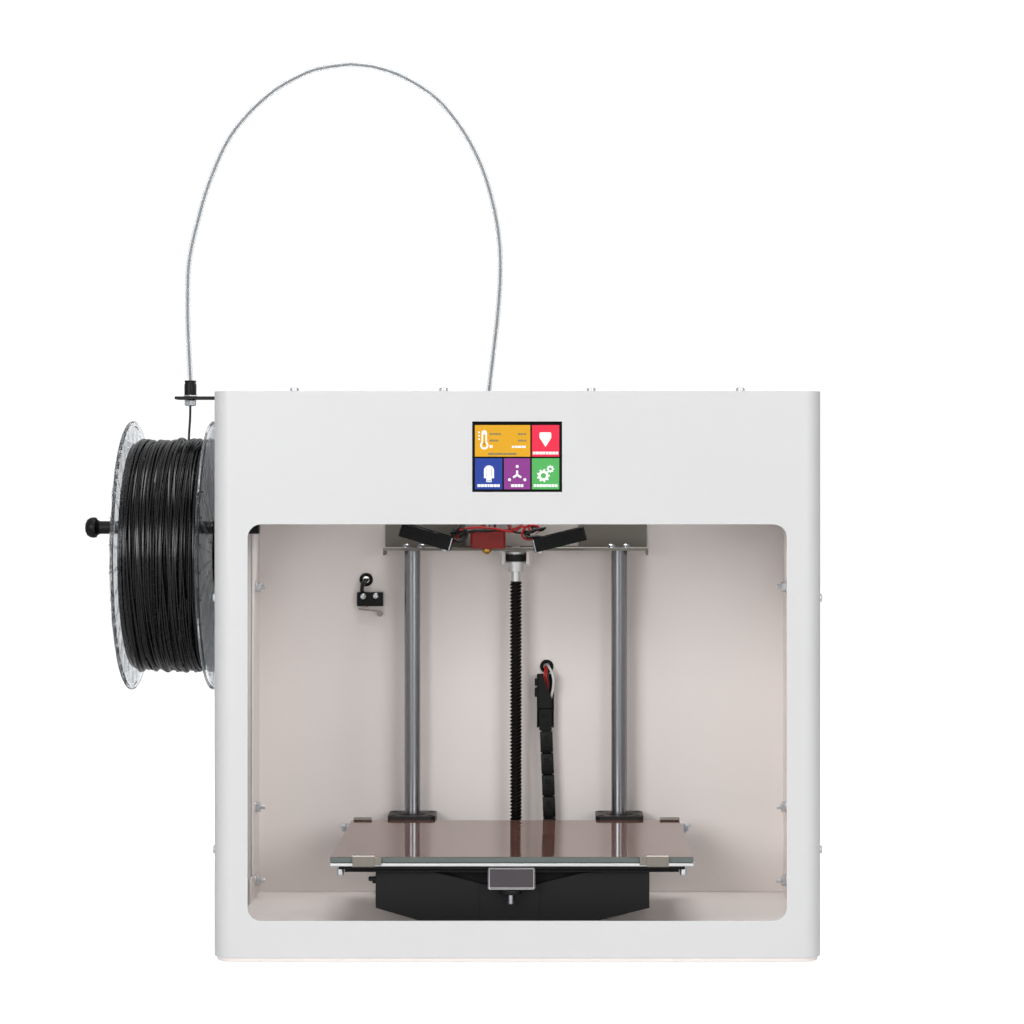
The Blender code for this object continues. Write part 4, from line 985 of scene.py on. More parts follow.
# Milled aluminium heater plate: clean bright edge with cutter lines.
milled, milled_tree, _, milled_place = start_material("milled_aluminium", "dcdcdc", 0.34, 1.0)
milled_lines = add(milled_tree, "TexWave", {
    "Vector": milled_place, "Scale": 260.0, "Distortion": 2.0, "Detail": 2.0,
})
add(milled_tree, "MapRange", {
    "Value": milled_lines.outputs["Fac"], "To Min": 0.28, "To Max": 0.44,
}, "Roughness")
finished_copy("heater_plate_milled", "heater_plate", milled, "bed", 0.0003)

# Black powder coat over folded steel: satin, fine orange peel.
BLACK_PEEL = 0.0012
black_coat, black_tree, black_shader, black_place = start_material("black_powder_coat", "171718", 0.46)
black_shader.inputs["Specular IOR Level"].default_value = 0.22
black_peel = add(black_tree, "TexNoise", {"Vector": black_place, "Scale": 1 / BLACK_PEEL, "Detail": 3.0})
add(black_tree, "MapRange", {"Value": black_peel, "To Min": 0.38, "To Max": 0.56}, "Roughness")
add(black_tree, "Bump", {"Height": black_peel, "Strength": 0.2, "Distance": 0.0002}, "Normal")

CARRIER_LEFT, CARRIER_RIGHT = -0.0974, 0.0902
CARRIER_FRONT, CARRIER_BACK = 0.034, 0.217
CARRIER_TOP, CARRIER_LOW = 0.0594, 0.0253
CARRIER_CORNER = 0.0340
CARRIER_SHEET = 0.002
DIP = 0.0503
FACET = (-0.0252, 0.0145)


def sheet_face(work, outline, depth, thickness):
    """A sheet that faces the front, from its (across, height) outline, with broken edges."""
    before = set(work.verts)
    flat(work, outline, depth + thickness, thickness)
    edges = list({e for v in grown(work, before) for e in v.link_edges})
    soften(work, edges, 0.0003, 1)


carrier = bmesh.new()
sheet_face(carrier, [
    (CARRIER_LEFT, CARRIER_CORNER), (-0.0674, CARRIER_LOW), (FACET[0], CARRIER_LOW), (FACET[0], 0.0509),
    (-0.0574, 0.0589), (CARRIER_LEFT, CARRIER_TOP),
], CARRIER_FRONT, CARRIER_SHEET)
sheet_face(carrier, [
    (FACET[1], CARRIER_LOW), (0.0553, CARRIER_LOW), (CARRIER_RIGHT, CARRIER_CORNER),
    (CARRIER_RIGHT, CARRIER_TOP),
    (0.0454, 0.0585), (FACET[1], 0.0509),
], CARRIER_FRONT, CARRIER_SHEET)
sheet_face(carrier, [
    (FACET[0] - 0.0008, CARRIER_LOW), (FACET[1] + 0.0008, CARRIER_LOW), (FACET[1] + 0.0008, 0.0509),
    (0.0122, DIP), (-0.0226, DIP), (FACET[0] - 0.0008, 0.0509),
], CARRIER_FRONT - 0.0004, CARRIER_SHEET)
block(carrier, at(-0.1024, 0.0350, 0.0522), at(-0.0966, 0.0400, 0.0549), 0.0005, 1)
for side in (CARRIER_LEFT, CARRIER_RIGHT - CARRIER_SHEET):
    block(carrier, at(side, CARRIER_FRONT + 0.002, CARRIER_CORNER - 0.0005),
          at(side + CARRIER_SHEET, CARRIER_BACK, CARRIER_TOP - 0.0002), 0.0004, 1)
for low, high in (((CARRIER_LEFT, CARRIER_CORNER), (-0.0674, CARRIER_LOW)),
                  ((CARRIER_RIGHT, CARRIER_CORNER), (0.0553, CARRIER_LOW))):
    inward = 1 if low[0] < 0 else -1
    slope = [carrier.verts.new(at(low[0], CARRIER_FRONT + 0.002, low[1])),
             carrier.verts.new(at(high[0], CARRIER_FRONT + 0.002, high[1])),
             carrier.verts.new(at(high[0], CARRIER_BACK, high[1])),
             carrier.verts.new(at(low[0], CARRIER_BACK, low[1]))]
    strip = carrier.faces.new(slope)
    thick = bmesh.ops.extrude_face_region(carrier, geom=[strip])
    bmesh.ops.translate(carrier, vec=(inward * 0.0006, 0, 0.0019), verts=raised(thick))
block(carrier, at(CARRIER_LEFT, CARRIER_FRONT + 0.003, CARRIER_TOP - CARRIER_SHEET),
      at(CARRIER_RIGHT, CARRIER_BACK, CARRIER_TOP), 0.0004, 1)
block(carrier, at(CARRIER_LEFT, CARRIER_BACK - CARRIER_SHEET, 0.0260),
      at(CARRIER_RIGHT, CARRIER_BACK, CARRIER_TOP), 0.0004, 1)
block(carrier, at(-0.018, 0.2165, 0.0440), at(0.010, 0.2270, 0.0495), 0.0005, 1)
block(carrier, at(0.0400, 0.2165, 0.0505), at(0.0555, 0.2500, 0.0535), 0.0005, 1)
for low, high in ((-0.018, -0.0112), (0.0032, 0.010)):
    block(carrier, at(low, 0.2270, 0.0440), at(high, 0.2500, 0.0495), 0.0005, 1)
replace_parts(piece("bed_carrier", carrier, black_coat, "bed"), "bed_support")

# A black insulating board under the heater plate keeps its heat off the carrier.
board = bmesh.new()
block(board, at(-0.1180, 0.0260, 0.0598), at(0.1100, 0.2130, 0.0612), 0.0003, 1)
block(board, at(-0.1220, 0.0240, 0.0618), at(0.1140, 0.2150, 0.0638), 0.0004, 1)
block(board, at(-0.0945, 0.0380, 0.0440), at(0.0873, 0.0420, 0.0600), 0.0004, 1)
piece("insulating_board", board, rubber, "bed")

# Spring clips hold the glass at its four corners: bent strips of stainless steel.
STRIP = 0.0005


def bent_strip(work, places, along, thickness):
    """A strip that follows a line of places, pulled to a width along one direction and thickened."""
    line = [work.verts.new(place) for place in places]
    edges = [work.edges.new(pair) for pair in zip(line, line[1:])]
    before = set(work.verts) - set(line)
    bmesh.ops.translate(work, vec=along, verts=raised(bmesh.ops.extrude_edge_only(work, edges=edges)))
    faces = list({f for v in grown(work, before) for f in v.link_faces})
    bmesh.ops.recalc_face_normals(work, faces=faces)
    bmesh.ops.solidify(work, geom=faces, thickness=thickness)


clips = bmesh.new()
for low, high in ((-0.1123, -0.0971), (0.0879, 0.1029)):
    bent_strip(clips, [at(low, 0.0300, 0.0714), at(low, 0.0215, 0.0716), at(low, 0.0210, 0.0710),
                       at(low, 0.0210, 0.0650), at(low, 0.0216, 0.0638), at(low, 0.0300, 0.0637)],
               Vector((high - low, 0, 0)), STRIP)
for low, high in ((-0.1260, -0.1125), (0.1050, 0.1197)):
    bent_strip(clips, [at(low, 0.2090, 0.0714), at(low, 0.2150, 0.0727), at(low, 0.2169, 0.0722),
                       at(low, 0.2169, 0.0650), at(low, 0.2160, 0.0638), at(low, 0.2090, 0.0637)],
               Vector((high - low, 0, 0)), STRIP)
for low, high in ((-0.0971, -0.0925), (0.0830, 0.0879)):
    block(clips, at(low, 0.0206, 0.0650), at(high, 0.0228, 0.0712), 0.0006)
piece("glass_clips", clips, spring_steel, "bed")

# Levelling screws at the corners, with a wing that the rear ones are turned by.
levellers = bmesh.new()
for across, way in ((-0.1290, -1), (0.1210, 1)):
    disc(levellers, at(across, 0.2010, 0.0620), at(across, 0.2010, 0.0700), 0.0026, edge=0.0004, sides=20)
    block(levellers, at(min(across, across + way * 0.0070), 0.1996, 0.0672),
          at(max(across, across + way * 0.0070), 0.2024, 0.0696), 0.0008)
    disc(levellers, at(across + way * 0.0030, 0.2010, 0.0640), at(across + way * 0.0030, 0.2010, 0.0676),
         0.0020,
         edge=0.0003, sides=6)
for across in (-0.1212, 0.1132):
    disc(levellers, at(across, 0.0290, 0.0575), at(across, 0.0290, 0.0618), 0.0024, edge=0.0004, sides=20)
piece("levelling_screws", levellers, zinc, "bed")

# Front catch: a pressed bright frame round a dark inlay, over the front levelling screw.
grip_low, grip_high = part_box("bed_grip")
GRIP_RIM = 0.0012
rim = bmesh.new()
block(rim, grip_low, Vector((grip_high.x, grip_low.y + 0.004, grip_high.z)))
front_face = [f for f in rim.faces if f.normal.y < -0.9]
bmesh.ops.inset_region(rim, faces=front_face, thickness=GRIP_RIM)
bmesh.ops.translate(rim, vec=(0, 0.0016, 0), verts=front_face[0].verts)
upright = [e for e in rim.edges if abs((e.verts[0].co - e.verts[1].co).normalized().y) > 0.9]
soften(rim, upright, 0.0014, 4)
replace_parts(piece("bed_catch", rim, milled, "bed", 40), "bed_grip")
# Smoked acrylic inlay: dark and glossy.
smoked, smoked_tree, _, smoked_place = start_material("smoked_acrylic", "474146", 0.16)
smoked_haze = add(smoked_tree, "TexNoise", {"Vector": smoked_place, "Scale": 90.0, "Detail": 3.0})
add(smoked_tree, "MapRange", {"Value": smoked_haze, "To Min": 0.12, "To Max": 0.3}, "Roughness")
inlay = bmesh.new()
block(inlay, Vector((grip_low.x + GRIP_RIM, grip_low.y + 0.0010, grip_low.z + GRIP_RIM)),
      Vector((grip_high.x - GRIP_RIM, grip_low.y + 0.0022, grip_high.z - GRIP_RIM)), 0.0003)
piece("catch_inlay", inlay, smoked, "bed")

knob_place = at(-0.0047, 0.0257, 0)
wheel = bmesh.new()
turned(wheel, [(0, 0.0479), (0.0072, 0.0479), (0.0078, 0.0474), (0.0078, 0.0457), (0.0072, 0.0452),
               (0.0022, 0.0452),
               (0.0022, 0.0444), (0, 0.0444)], knob_place, UP, 36)
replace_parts(piece("levelling_wheel", wheel, abs_black, "level_knob"), "level_knob")
stud = bmesh.new()
disc(stud, knob_place + UP * 0.0444, knob_place + UP * 0.0382, 0.0017, edge=0.0003, sides=20)
for step in range(7):
    low = knob_place + UP * (0.0386 + 0.0008 * step)
    turned(stud, [(0.0015, 0), (0.0020, 0.0003), (0.0015, 0.0006)], low, UP, 20, closed=True)
piece("levelling_stud", stud, zinc, "level_knob")

# Linear bearings in black anodised blocks behind the bed, each with a thin flange on top.
anodised, anodised_tree, _, anodised_place = start_material(
    "black_anodised_aluminium", "2c2a29", 0.4, 0.6
)
anodised_grain = add(anodised_tree, "TexNoise", {"Vector": anodised_place, "Scale": 1100.0, "Detail": 2.0})
add(anodised_tree, "MapRange", {
    "Value": anodised_grain, "To Min": 0.32, "To Max": 0.5,
}, "Roughness")
for side, across in (("left", LIFT_X - ROD_OFFSET), ("right", LIFT_X + ROD_OFFSET)):
    finished_copy("bearing_" + side, "bearing_block_" + side, anodised, "bed",
                  0.0005)
    flange = bmesh.new()
    turned(flange, [(ROD_RADIUS + 0.0006, 0.0729), (0.0098, 0.0729), (0.0098, 0.0735),
                    (ROD_RADIUS + 0.0006, 0.0735)],
           at(across, LIFT_DEPTH, 0), UP, 40, closed=True)
    for shift in (-0.0140, 0.0140):
        for depth in (0.2230, 0.2460):
            turned(flange, [(0.0013, 0.0729), (0.0026, 0.0729), (0.0026, 0.0733), (0.0013, 0.0733)],
                   at(across + shift, depth, 0), UP, 20, closed=True)
    piece("bearing_seal_" + side, flange, anodised, "bed")

# Brass nut: turned, yellow with fine rings.
brass, brass_tree, _, brass_place = start_material("turned_brass", "c79a4a", 0.28, 1.0)
brass_rings = add(brass_tree, "TexNoise", {"Vector": brass_place, "Scale": 1500.0, "Detail": 2.0})
add(brass_tree, "MapRange", {"Value": brass_rings, "To Min": 0.2, "To Max": 0.42}, "Roughness")
finished_copy("bed_nut", "lead_nut", brass, "bed", 0.0004)

# ---- Motors ----
# Four stepper motors, 42 mm square: a black laminated body between two cast aluminium ends, held by four
# long screws. They drive the lift, the bridge, the head and the filament.

# Painted laminations: black with fine stacked lines, drawn at 0.7 mm.
LAMINATION = 0.0007


def laminated(name, axis):
    """Black paint over stacked steel sheets whose lines run across one axis."""
    made, tree, shader, place = start_material(name, "18181a", 0.42, 0.3)
    stretch = [0.02, 0.02, 0.02]
    stretch[axis] = 1.0
    lines = add(tree, "Mapping", {"Vector": place, "Scale": stretch})
    noise = add(tree, "TexNoise", {"Vector": lines, "Scale": 1 / LAMINATION, "Detail": 1.0})
    add(tree, "MapRange", {"Value": noise, "To Min": 0.3, "To Max": 0.56}, "Roughness")
    add(tree, "Bump", {"Height": noise, "Strength": 0.3, "Distance": 0.0001}, "Normal")
    return made


MOTOR_CORNER = 0.0042
MOTOR_SCREW = 0.0155
STACK_WAYS = ("across", "deep", "tall")
stack_looks = [laminated("painted_laminations_" + way, axis) for axis, way in enumerate(STACK_WAYS)]
for name, node, body, axis, low, high in (
    ("extruder_motor_body", "extruder_motor", "carriage", 1,
     (-0.040, 0.2222, 0.3525), (0.002, 0.250, 0.3945)),
    ("bridge_motor_body", "y_motor", "cabinet", 0, (-0.024, 0.309, 0.3405), (0.024, 0.351, 0.3825)),
    ("head_motor_body", "x_motor", "gantry", 2, (0.143, 0.224, 0.3523), (0.185, 0.266, 0.382)),
    ("lift_motor_body", "z_motor", "cabinet", 2, (-0.025, 0.279, 0.214), (0.017, 0.321, 0.258)),
):
    low, high = at(*low), at(*high)
    reach = high[axis] - low[axis]
    middle = (low + high) / 2
    for part, look, slot, spans in (
        ("", stack_looks[axis], "motor_body", ((0.24, 0.78, 0.0004),)),
        ("_ends", cast, "aluminium", ((0.0, 0.24, 0.0), (0.78, 1.0, 0.0))),
    ):
        work = bmesh.new()
        for start, end, inset in spans:
            inner_low, inner_high = low.copy(), high.copy()
            for other in range(3):
                if other != axis:
                    inner_low[other] += inset
                    inner_high[other] -= inset
            inner_low[axis] = low[axis] + reach * start
            inner_high[axis] = low[axis] + reach * end
            made = block(work, inner_low, inner_high)
            edges = {e for v in made for e in v.link_edges}
            upright = [e for e in edges if abs((e.verts[0].co - e.verts[1].co).normalized()[axis]) > 0.9]
            soften(work, upright, MOTOR_CORNER, 2)
        motor = piece(name + part, work, look, body)
        if not part:
            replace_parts(motor, node)
    way = Vector([1.0 if other == axis else 0.0 for other in range(3)])
    bolts = bmesh.new()
    others = [other for other in range(3) if other != axis]
    for first in (-1, 1):
        for second in (-1, 1):
            seat = middle.copy()
            seat[others[0]] += first * MOTOR_SCREW
            seat[others[1]] += second * MOTOR_SCREW
            for end, out in ((low[axis], -1), (high[axis], 1)):
                seat[axis] = end - out * 0.0004
                disc(bolts, seat, seat + way * out * 0.0007, 0.0026, edge=0.0002, sides=16)
    piece(name + "_screws", bolts, zinc, body)

# ---- Bridge ----
# The bridge carries the head: 10 mm side rods and 8 mm cross rods of ground steel, moved by a motor, a
# cross shaft and two belts. Its sliders and idlers are black moulded nylon and turned aluminium.

finished_copy("gantry_frame_painted", "gantry_frame", grey_paint, "cabinet", 0.0004)
for name, node, body, start, end, radius in (
    ("side_rod_left", "y_rod_left", "cabinet", (-0.187, 0.0102, 0.322), (-0.187, 0.2953, 0.322), 0.005),
    ("side_rod_right", "y_rod_right", "cabinet", (0.187, 0.0102, 0.322), (0.187, 0.2953, 0.322), 0.005),
    ("cross_rod_front", "x_rod_front", "gantry", (-0.173, 0.228, 0.342), (0.173, 0.228, 0.342), 0.004),
    ("cross_rod_rear", "x_rod_rear", "gantry", (-0.173, 0.262, 0.342), (0.173, 0.262, 0.342), 0.004),
):
    work = bmesh.new()
    disc(work, at(*start), at(*end), radius, edge=0.0005, sides=48)
    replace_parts(piece(name, work, ground, body), node)
for side in ("left", "right"):
    finished_copy("slider_" + side, "y_slider_" + side, nylon, "gantry", 0.0006)

SHAFT_DEPTH, IDLER_DEPTH = 0.330, 0.024
SHAFT_HEIGHT = 0.362
PULLEY_X = 0.190
PULLEY = [(0.0040, -0.0050), (0.0077, -0.0050), (0.0079, -0.0048), (0.0079, -0.0038), (0.0070, -0.0036),
          (0.0070, 0.0036), (0.0079, 0.0038), (0.0079, 0.0048), (0.0077, 0.0050), (0.0040, 0.0050)]
work = bmesh.new()
disc(work, at(-0.1985, SHAFT_DEPTH, SHAFT_HEIGHT), at(0.1985, SHAFT_DEPTH, SHAFT_HEIGHT), 0.004,
     edge=0.0005, sides=40)
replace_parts(piece("drive_shaft", work, ground, "cross_shaft"), "cross_shaft")
work = bmesh.new()
for across in (-PULLEY_X, PULLEY_X):
    turned(work, PULLEY, at(across, SHAFT_DEPTH, SHAFT_HEIGHT), RIGHT, 40, closed=True)
for across in (-0.034, 0.034):
    turned(work, [(0.0040, -0.0060), (0.0090, -0.0060), (0.0090, 0.0060), (0.0040, 0.0060)],
           at(across, SHAFT_DEPTH, SHAFT_HEIGHT), RIGHT, 40, closed=True)
piece("drive_pulleys", work, turned_alloy, "cross_shaft")
idlers = bmesh.new()
for across in (-PULLEY_X, PULLEY_X):
    turned(idlers, PULLEY, at(across, IDLER_DEPTH, SHAFT_HEIGHT), RIGHT, 40, closed=True)
    disc(idlers, at(across - 0.0085, IDLER_DEPTH, SHAFT_HEIGHT),
         at(across + 0.0085, IDLER_DEPTH, SHAFT_HEIGHT), 0.0042, edge=0.0004)
piece("front_idlers", idlers, turned_alloy, "cabinet")
idler_mounts = bmesh.new()
for side in (-1, 1):
    inner = side * 0.1830
    block(idler_mounts, at(inner - 0.0012, 0.0160, 0.3340), at(inner + 0.0012, 0.0320, 0.3680), 0.0005)
    block(idler_mounts, at(min(inner, side * 0.198), 0.0160, 0.3340),
          at(max(inner, side * 0.198), 0.0320, 0.3362), 0.0005)
piece("idler_mounts", idler_mounts, grey_paint, "cabinet")

for side, across in (("left", -PULLEY_X), ("right", PULLEY_X)):
    belt = toothed_belt(at(across, IDLER_DEPTH, SHAFT_HEIGHT), SHAFT_DEPTH - IDLER_DEPTH, 0.0080, 0.0009,
        0.006, Vector((0, 1, 0)), RIGHT)
    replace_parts(piece("side_belt_" + side, belt, neoprene, "cabinet", 20), "y_belt_" + side)
cross_belt = toothed_belt(at(-0.164, 0.245, 0.342), 0.328, 0.0065, 0.0010, 0.006, RIGHT, UP)
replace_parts(piece("cross_belt", cross_belt, neoprene, "gantry", 20), "x_belt")
for name, node, body in (
    ("head_pulley", "x_motor_pulley", "x_motor_pulley"), ("head_idler", "x_idler", "x_idler"),
    ("lift_pulley", "z_motor_pulley", "z_motor_pulley"),
):
    finished_copy(name, node, turned_alloy, body, 0.0002, 2)

# ---- Head ----
# An aluminium plate on the cross rods carries the filament drive, the ribbed heat sink, the heater block
# in its red silicone boot, a brass nozzle and two 40 mm fans that blow down at the print.

finished_copy("head_bracket", "carriage_block", anodised, "carriage", 0.0005)
finished_copy("ribbed_sink", "heat_sink", milled, "carriage", 0.0002, 1)
finished_copy("hobbed_gear", "drive_gear", brass, "drive_gear", 0.0001, 1)
finished_copy("pressure_lever", "idler_lever", abs_black, "idler_lever", 0.0005)
finished_copy("brass_nozzle", "nozzle", brass, "carriage", 0.0002, 1)

# Silicone boot: red, soft satin, browner where the heat has aged it.
boot, boot_tree, _, boot_place = start_material("moulded_silicone", "97221b", 0.5)
boot_cloud = add(boot_tree, "TexNoise", {"Vector": boot_place, "Scale": 90.0, "Detail": 3.0})
add(boot_tree, "MixRGB", {
    "Fac": boot_cloud, "Color1": linear("a8281f"), "Color2": linear("7d1d18"),
}, "Base Color")
finished_copy("heater_boot", "heater_block", boot, "carriage", 0.0012, 3)
heater_fittings = bmesh.new()
disc(heater_fittings, at(-0.0253, 0.207, 0.2899), at(-0.0253, 0.207, 0.2976), 0.0030, edge=0.0003)
piece("heater_fittings", heater_fittings, zinc, "carriage")

for side, across, height, tilt, inward in (
    ("left", -0.0700, 0.2848, 16.3, 1), ("right", 0.0290, 0.2828, -13.8, -1),
):
    finished_copy("cooling_fan_" + side, "fan_" + side, abs_black, "carriage", 0.0006)
    finished_copy("fan_blades_" + side, "fan_" + side + "_rotor", abs_black, "fan_" + side + "_rotor",
                  0.0002, 1)
    turn = Matrix.Rotation(math.radians(tilt), 4, "Y")
    fan_screws = bmesh.new()
    for second in (-0.016, 0.016):
        pan_head(fan_screws, Vector((inward * 0.016, second, -0.0050)), -UP, 0.0024, 0.0016)
    block(fan_screws, Vector((inward * 0.0190 - 0.0004, -0.0206, -0.0046)),
          Vector((inward * 0.0190 + 0.0004, -0.0200, 0.0044)), 0.0001, 1)
    bmesh.ops.transform(fan_screws, matrix=Matrix.Translation(at(across, 0.200, height)) @ turn,
                        verts=fan_screws.verts)
    piece("fan_screws_" + side, fan_screws, zinc, "carriage")
    # Two low ribs on the fan's rim face the front.
    ribs = bmesh.new()
    for start, end in ((-0.0150, -0.0030), (0.0010, 0.0090)):
        block(ribs, Vector((start, -0.0203, -0.0010)), Vector((end, -0.0200, 0.0010)))
    bmesh.ops.transform(ribs, matrix=Matrix.Translation(at(across, 0.200, height)) @ turn,
                        verts=ribs.verts)
    piece("fan_ribs_" + side, ribs, nylon, "carriage")

HEAD_WIRES = (
    ("heater_wire_a", red_pvc, 0.0009, (
        (-0.0490, 0.1960, 0.2811), (-0.0473, 0.1930, 0.2847),
        (-0.0461, 0.1910, 0.2892), (-0.0408, 0.1900, 0.2911),
        (-0.0301, 0.1900, 0.2918), (-0.0195, 0.1900, 0.2910),
        (-0.0115, 0.1910, 0.2895), (-0.0060, 0.1930, 0.2885),
        (-0.0029, 0.1960, 0.2897), (0.0003, 0.2000, 0.2925),
        (0.0016, 0.2060, 0.2964), (0.0022, 0.2120, 0.3017),
    )),
    ("heater_wire_b", red_pvc, 0.0009, (
        (-0.0097, 0.2080, 0.3018), (-0.0096, 0.2020, 0.2965),
        (-0.0087, 0.1980, 0.2928), (-0.0068, 0.1940, 0.2897),
        (-0.0041, 0.1920, 0.2908), (0.0004, 0.1910, 0.2927),
        (0.0034, 0.1910, 0.2916), (0.0018, 0.1900, 0.2890),
        (0.0013, 0.1900, 0.2860), (0.0034, 0.1900, 0.2834),
        (0.0084, 0.1900, 0.2829), (0.0151, 0.1900, 0.2834),
        (0.0193, 0.1900, 0.2818), (0.0220, 0.1910, 0.2786),
    )),
    ("heater_wire_c", red_pvc, 0.0009, (
        (0.0018, 0.1920, 0.2889), (0.0042, 0.1910, 0.2919),
        (0.0084, 0.1900, 0.2935), (0.0124, 0.1900, 0.2930),
        (0.0143, 0.1900, 0.2908), (0.0132, 0.1910, 0.2884),
        (0.0100, 0.1930, 0.2876), (0.0068, 0.1980, 0.2896),
        (0.0057, 0.2040, 0.2965), (0.0059, 0.2100, 0.3017),
    )),
    ("heater_wire_d", red_pvc, 0.0009, (
        (-0.0302, 0.1930, 0.2917), (-0.0287, 0.1960, 0.2934),
        (-0.0277, 0.2000, 0.2965), (-0.0273, 0.2060, 0.3018),
    )),
    ("sensor_wire_a", black_pvc, 0.0011, (
        (-0.0509, 0.1920, 0.2860), (-0.0487, 0.1900, 0.2826),
        (-0.0450, 0.1890, 0.2813), (-0.0413, 0.1890, 0.2834),
        (-0.0397, 0.1890, 0.2869), (-0.0413, 0.1900, 0.2906),
        (-0.0448, 0.1910, 0.2913), (-0.0475, 0.1920, 0.2897),
        (-0.0483, 0.1930, 0.2868), (-0.0462, 0.1940, 0.2844),
        (-0.0428, 0.1940, 0.2860), (-0.0382, 0.1930, 0.2884),
        (-0.0302, 0.1930, 0.2894), (-0.0196, 0.1940, 0.2897),
        (-0.0089, 0.1960, 0.2897), (-0.0010, 0.1990, 0.2915),
        (0.0016, 0.2040, 0.2965), (0.0024, 0.2100, 0.3017),
    )),
    ("sensor_wire_b", black_pvc, 0.0009, (
        (-0.0510, 0.1940, 0.2876), (-0.0475, 0.1930, 0.2886),
        (-0.0422, 0.1920, 0.2884), (-0.0328, 0.1920, 0.2892),
        (-0.0249, 0.1940, 0.2889), (-0.0197, 0.1980, 0.2912),
        (-0.0190, 0.2030, 0.2965), (-0.0185, 0.2080, 0.3018),
    )),
    ("fan_wire_left", black_pvc, 0.0008, (
        (-0.0519, 0.1900, 0.2871), (-0.0492, 0.1890, 0.2890),
        (-0.0461, 0.1910, 0.2919), (-0.0447, 0.1960, 0.2966),
        (-0.0439, 0.2040, 0.3018),
    )),
    ("fan_wire_right", black_pvc, 0.0011, (
        (0.0236, 0.1890, 0.2773), (0.0215, 0.1880, 0.2808),
        (0.0164, 0.1880, 0.2848), (0.0098, 0.1880, 0.2848),
        (0.0058, 0.1880, 0.2845), (0.0039, 0.1890, 0.2866),
        (0.0084, 0.1890, 0.2890), (0.0151, 0.1890, 0.2909),
        (0.0185, 0.1900, 0.2916), (0.0151, 0.1920, 0.2897),
        (0.0097, 0.1960, 0.2899), (0.0078, 0.2030, 0.2965),
        (0.0075, 0.2100, 0.3017),
    )),
    ("fan_wire_right_b", black_pvc, 0.0009, (
        (0.0204, 0.1920, 0.2780), (0.0151, 0.1910, 0.2823),
        (0.0084, 0.1910, 0.2852), (0.0026, 0.1910, 0.2876),
        (-0.0022, 0.1920, 0.2879), (-0.0057, 0.1940, 0.2889),
        (-0.0074, 0.1980, 0.2918), (-0.0080, 0.2030, 0.2965),
        (-0.0081, 0.2080, 0.3018),
    )),
    ("fan_wire_right_white", white_pvc, 0.0007, (
        (0.0068, 0.1895, 0.2837), (0.0084, 0.1890, 0.2861),
        (0.0124, 0.1890, 0.2885), (0.0135, 0.1900, 0.2892),
        (0.0124, 0.1940, 0.2913), (0.0110, 0.2020, 0.2965), (0.0107, 0.2080, 0.3018),
    )),
)
for name, look, radius, places in HEAD_WIRES:
    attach(wire(name, [lead(*places)], radius, look), "carriage")
plugs = bmesh.new()
block(plugs, at(-0.0505, 0.1900, 0.2865), at(-0.0448, 0.1960, 0.2905), 0.0005)
block(plugs, at(0.0020, 0.1900, 0.2868), at(0.0068, 0.1950, 0.2896), 0.0005)
block(plugs, at(0.0075, 0.1900, 0.2915), at(0.0125, 0.1950, 0.2940), 0.0005)
piece("wire_plugs", plugs, nylon, "carriage")

# ---- Filament spool ----
# A clear moulded polystyrene spool on a black rod, wound with 1.75 mm black filament that goes up through
# a guide on the cabinet's edge. Its flanges have a raised rim, an inner step and moulded ribs.

# Clear polystyrene: glossy, with flow ripples left by the moulding. Its IOR is set below the real 1.59, so
# that the thin flanges stay clear.
styrene, styrene_tree, styrene_shader, styrene_place = start_material(
    "moulded_clear_polystyrene", "eef0f2", 0.0
)
styrene_shader.inputs["IOR"].default_value = 1.12
styrene_shader.inputs["Transmission Weight"].default_value = 0.97
styrene_flow = add(styrene_tree, "TexNoise", {
    "Vector": styrene_place, "Scale": 70.0, "Detail": 3.0, "Distortion": 1.5,
})
add(styrene_tree, "Bump", {
    "Height": styrene_flow, "Strength": 0.35, "Distance": 0.0006,
}, "Normal")

SPOOL_PLACE = at(0, 0.195, 0.271)
SPOOL_LEFT, SPOOL_RIGHT = -0.2905, -0.227
HUB_BORE, HUB_RADIUS = 0.0262, 0.030
spool_work = bmesh.new()
turned(spool_work, [
    (HUB_BORE, SPOOL_LEFT), (0.0990, SPOOL_LEFT), (0.1000, SPOOL_LEFT + 0.0008),
    (0.1000, SPOOL_LEFT + 0.0022),
    (0.0990, SPOOL_LEFT + 0.0030), (0.0965, SPOOL_LEFT + 0.0030), (0.0955, SPOOL_LEFT + 0.0020),
    (0.0480, SPOOL_LEFT + 0.0020), (0.0460, SPOOL_LEFT + 0.0030), (HUB_RADIUS, SPOOL_LEFT + 0.0030),
    (HUB_RADIUS, SPOOL_RIGHT - 0.0030), (0.0460, SPOOL_RIGHT - 0.0030), (0.0480, SPOOL_RIGHT - 0.0020),
    (0.0955, SPOOL_RIGHT - 0.0020), (0.0965, SPOOL_RIGHT - 0.0030), (0.0990, SPOOL_RIGHT - 0.0030),
    (0.1000, SPOOL_RIGHT - 0.0022), (0.1000, SPOOL_RIGHT - 0.0008), (0.0990, SPOOL_RIGHT),
    (HUB_BORE, SPOOL_RIGHT),
], SPOOL_PLACE, RIGHT, 128, closed=True)
clear_spool = piece("clear_spool", spool_work, styrene, "spool", 25)
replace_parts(clear_spool, "spool")
RIBS = 30
rib_work = bmesh.new()
for i in range(RIBS):
    angle = 2 * math.pi * i / RIBS
    spin = Matrix.Translation(SPOOL_PLACE) @ Matrix.Rotation(angle, 4, "X")
    for low, high in (
        (SPOOL_LEFT - 0.0010, SPOOL_LEFT + 0.0004), (SPOOL_RIGHT - 0.0004, SPOOL_RIGHT + 0.0010),
    ):
        made = block(rib_work, Vector((low, -0.0009, 0.034)), Vector((high, 0.0009, 0.0950)), 0.0002, 1)
        bmesh.ops.transform(rib_work, matrix=spin, verts=made)
piece("spool_ribs", rib_work, styrene, "spool")

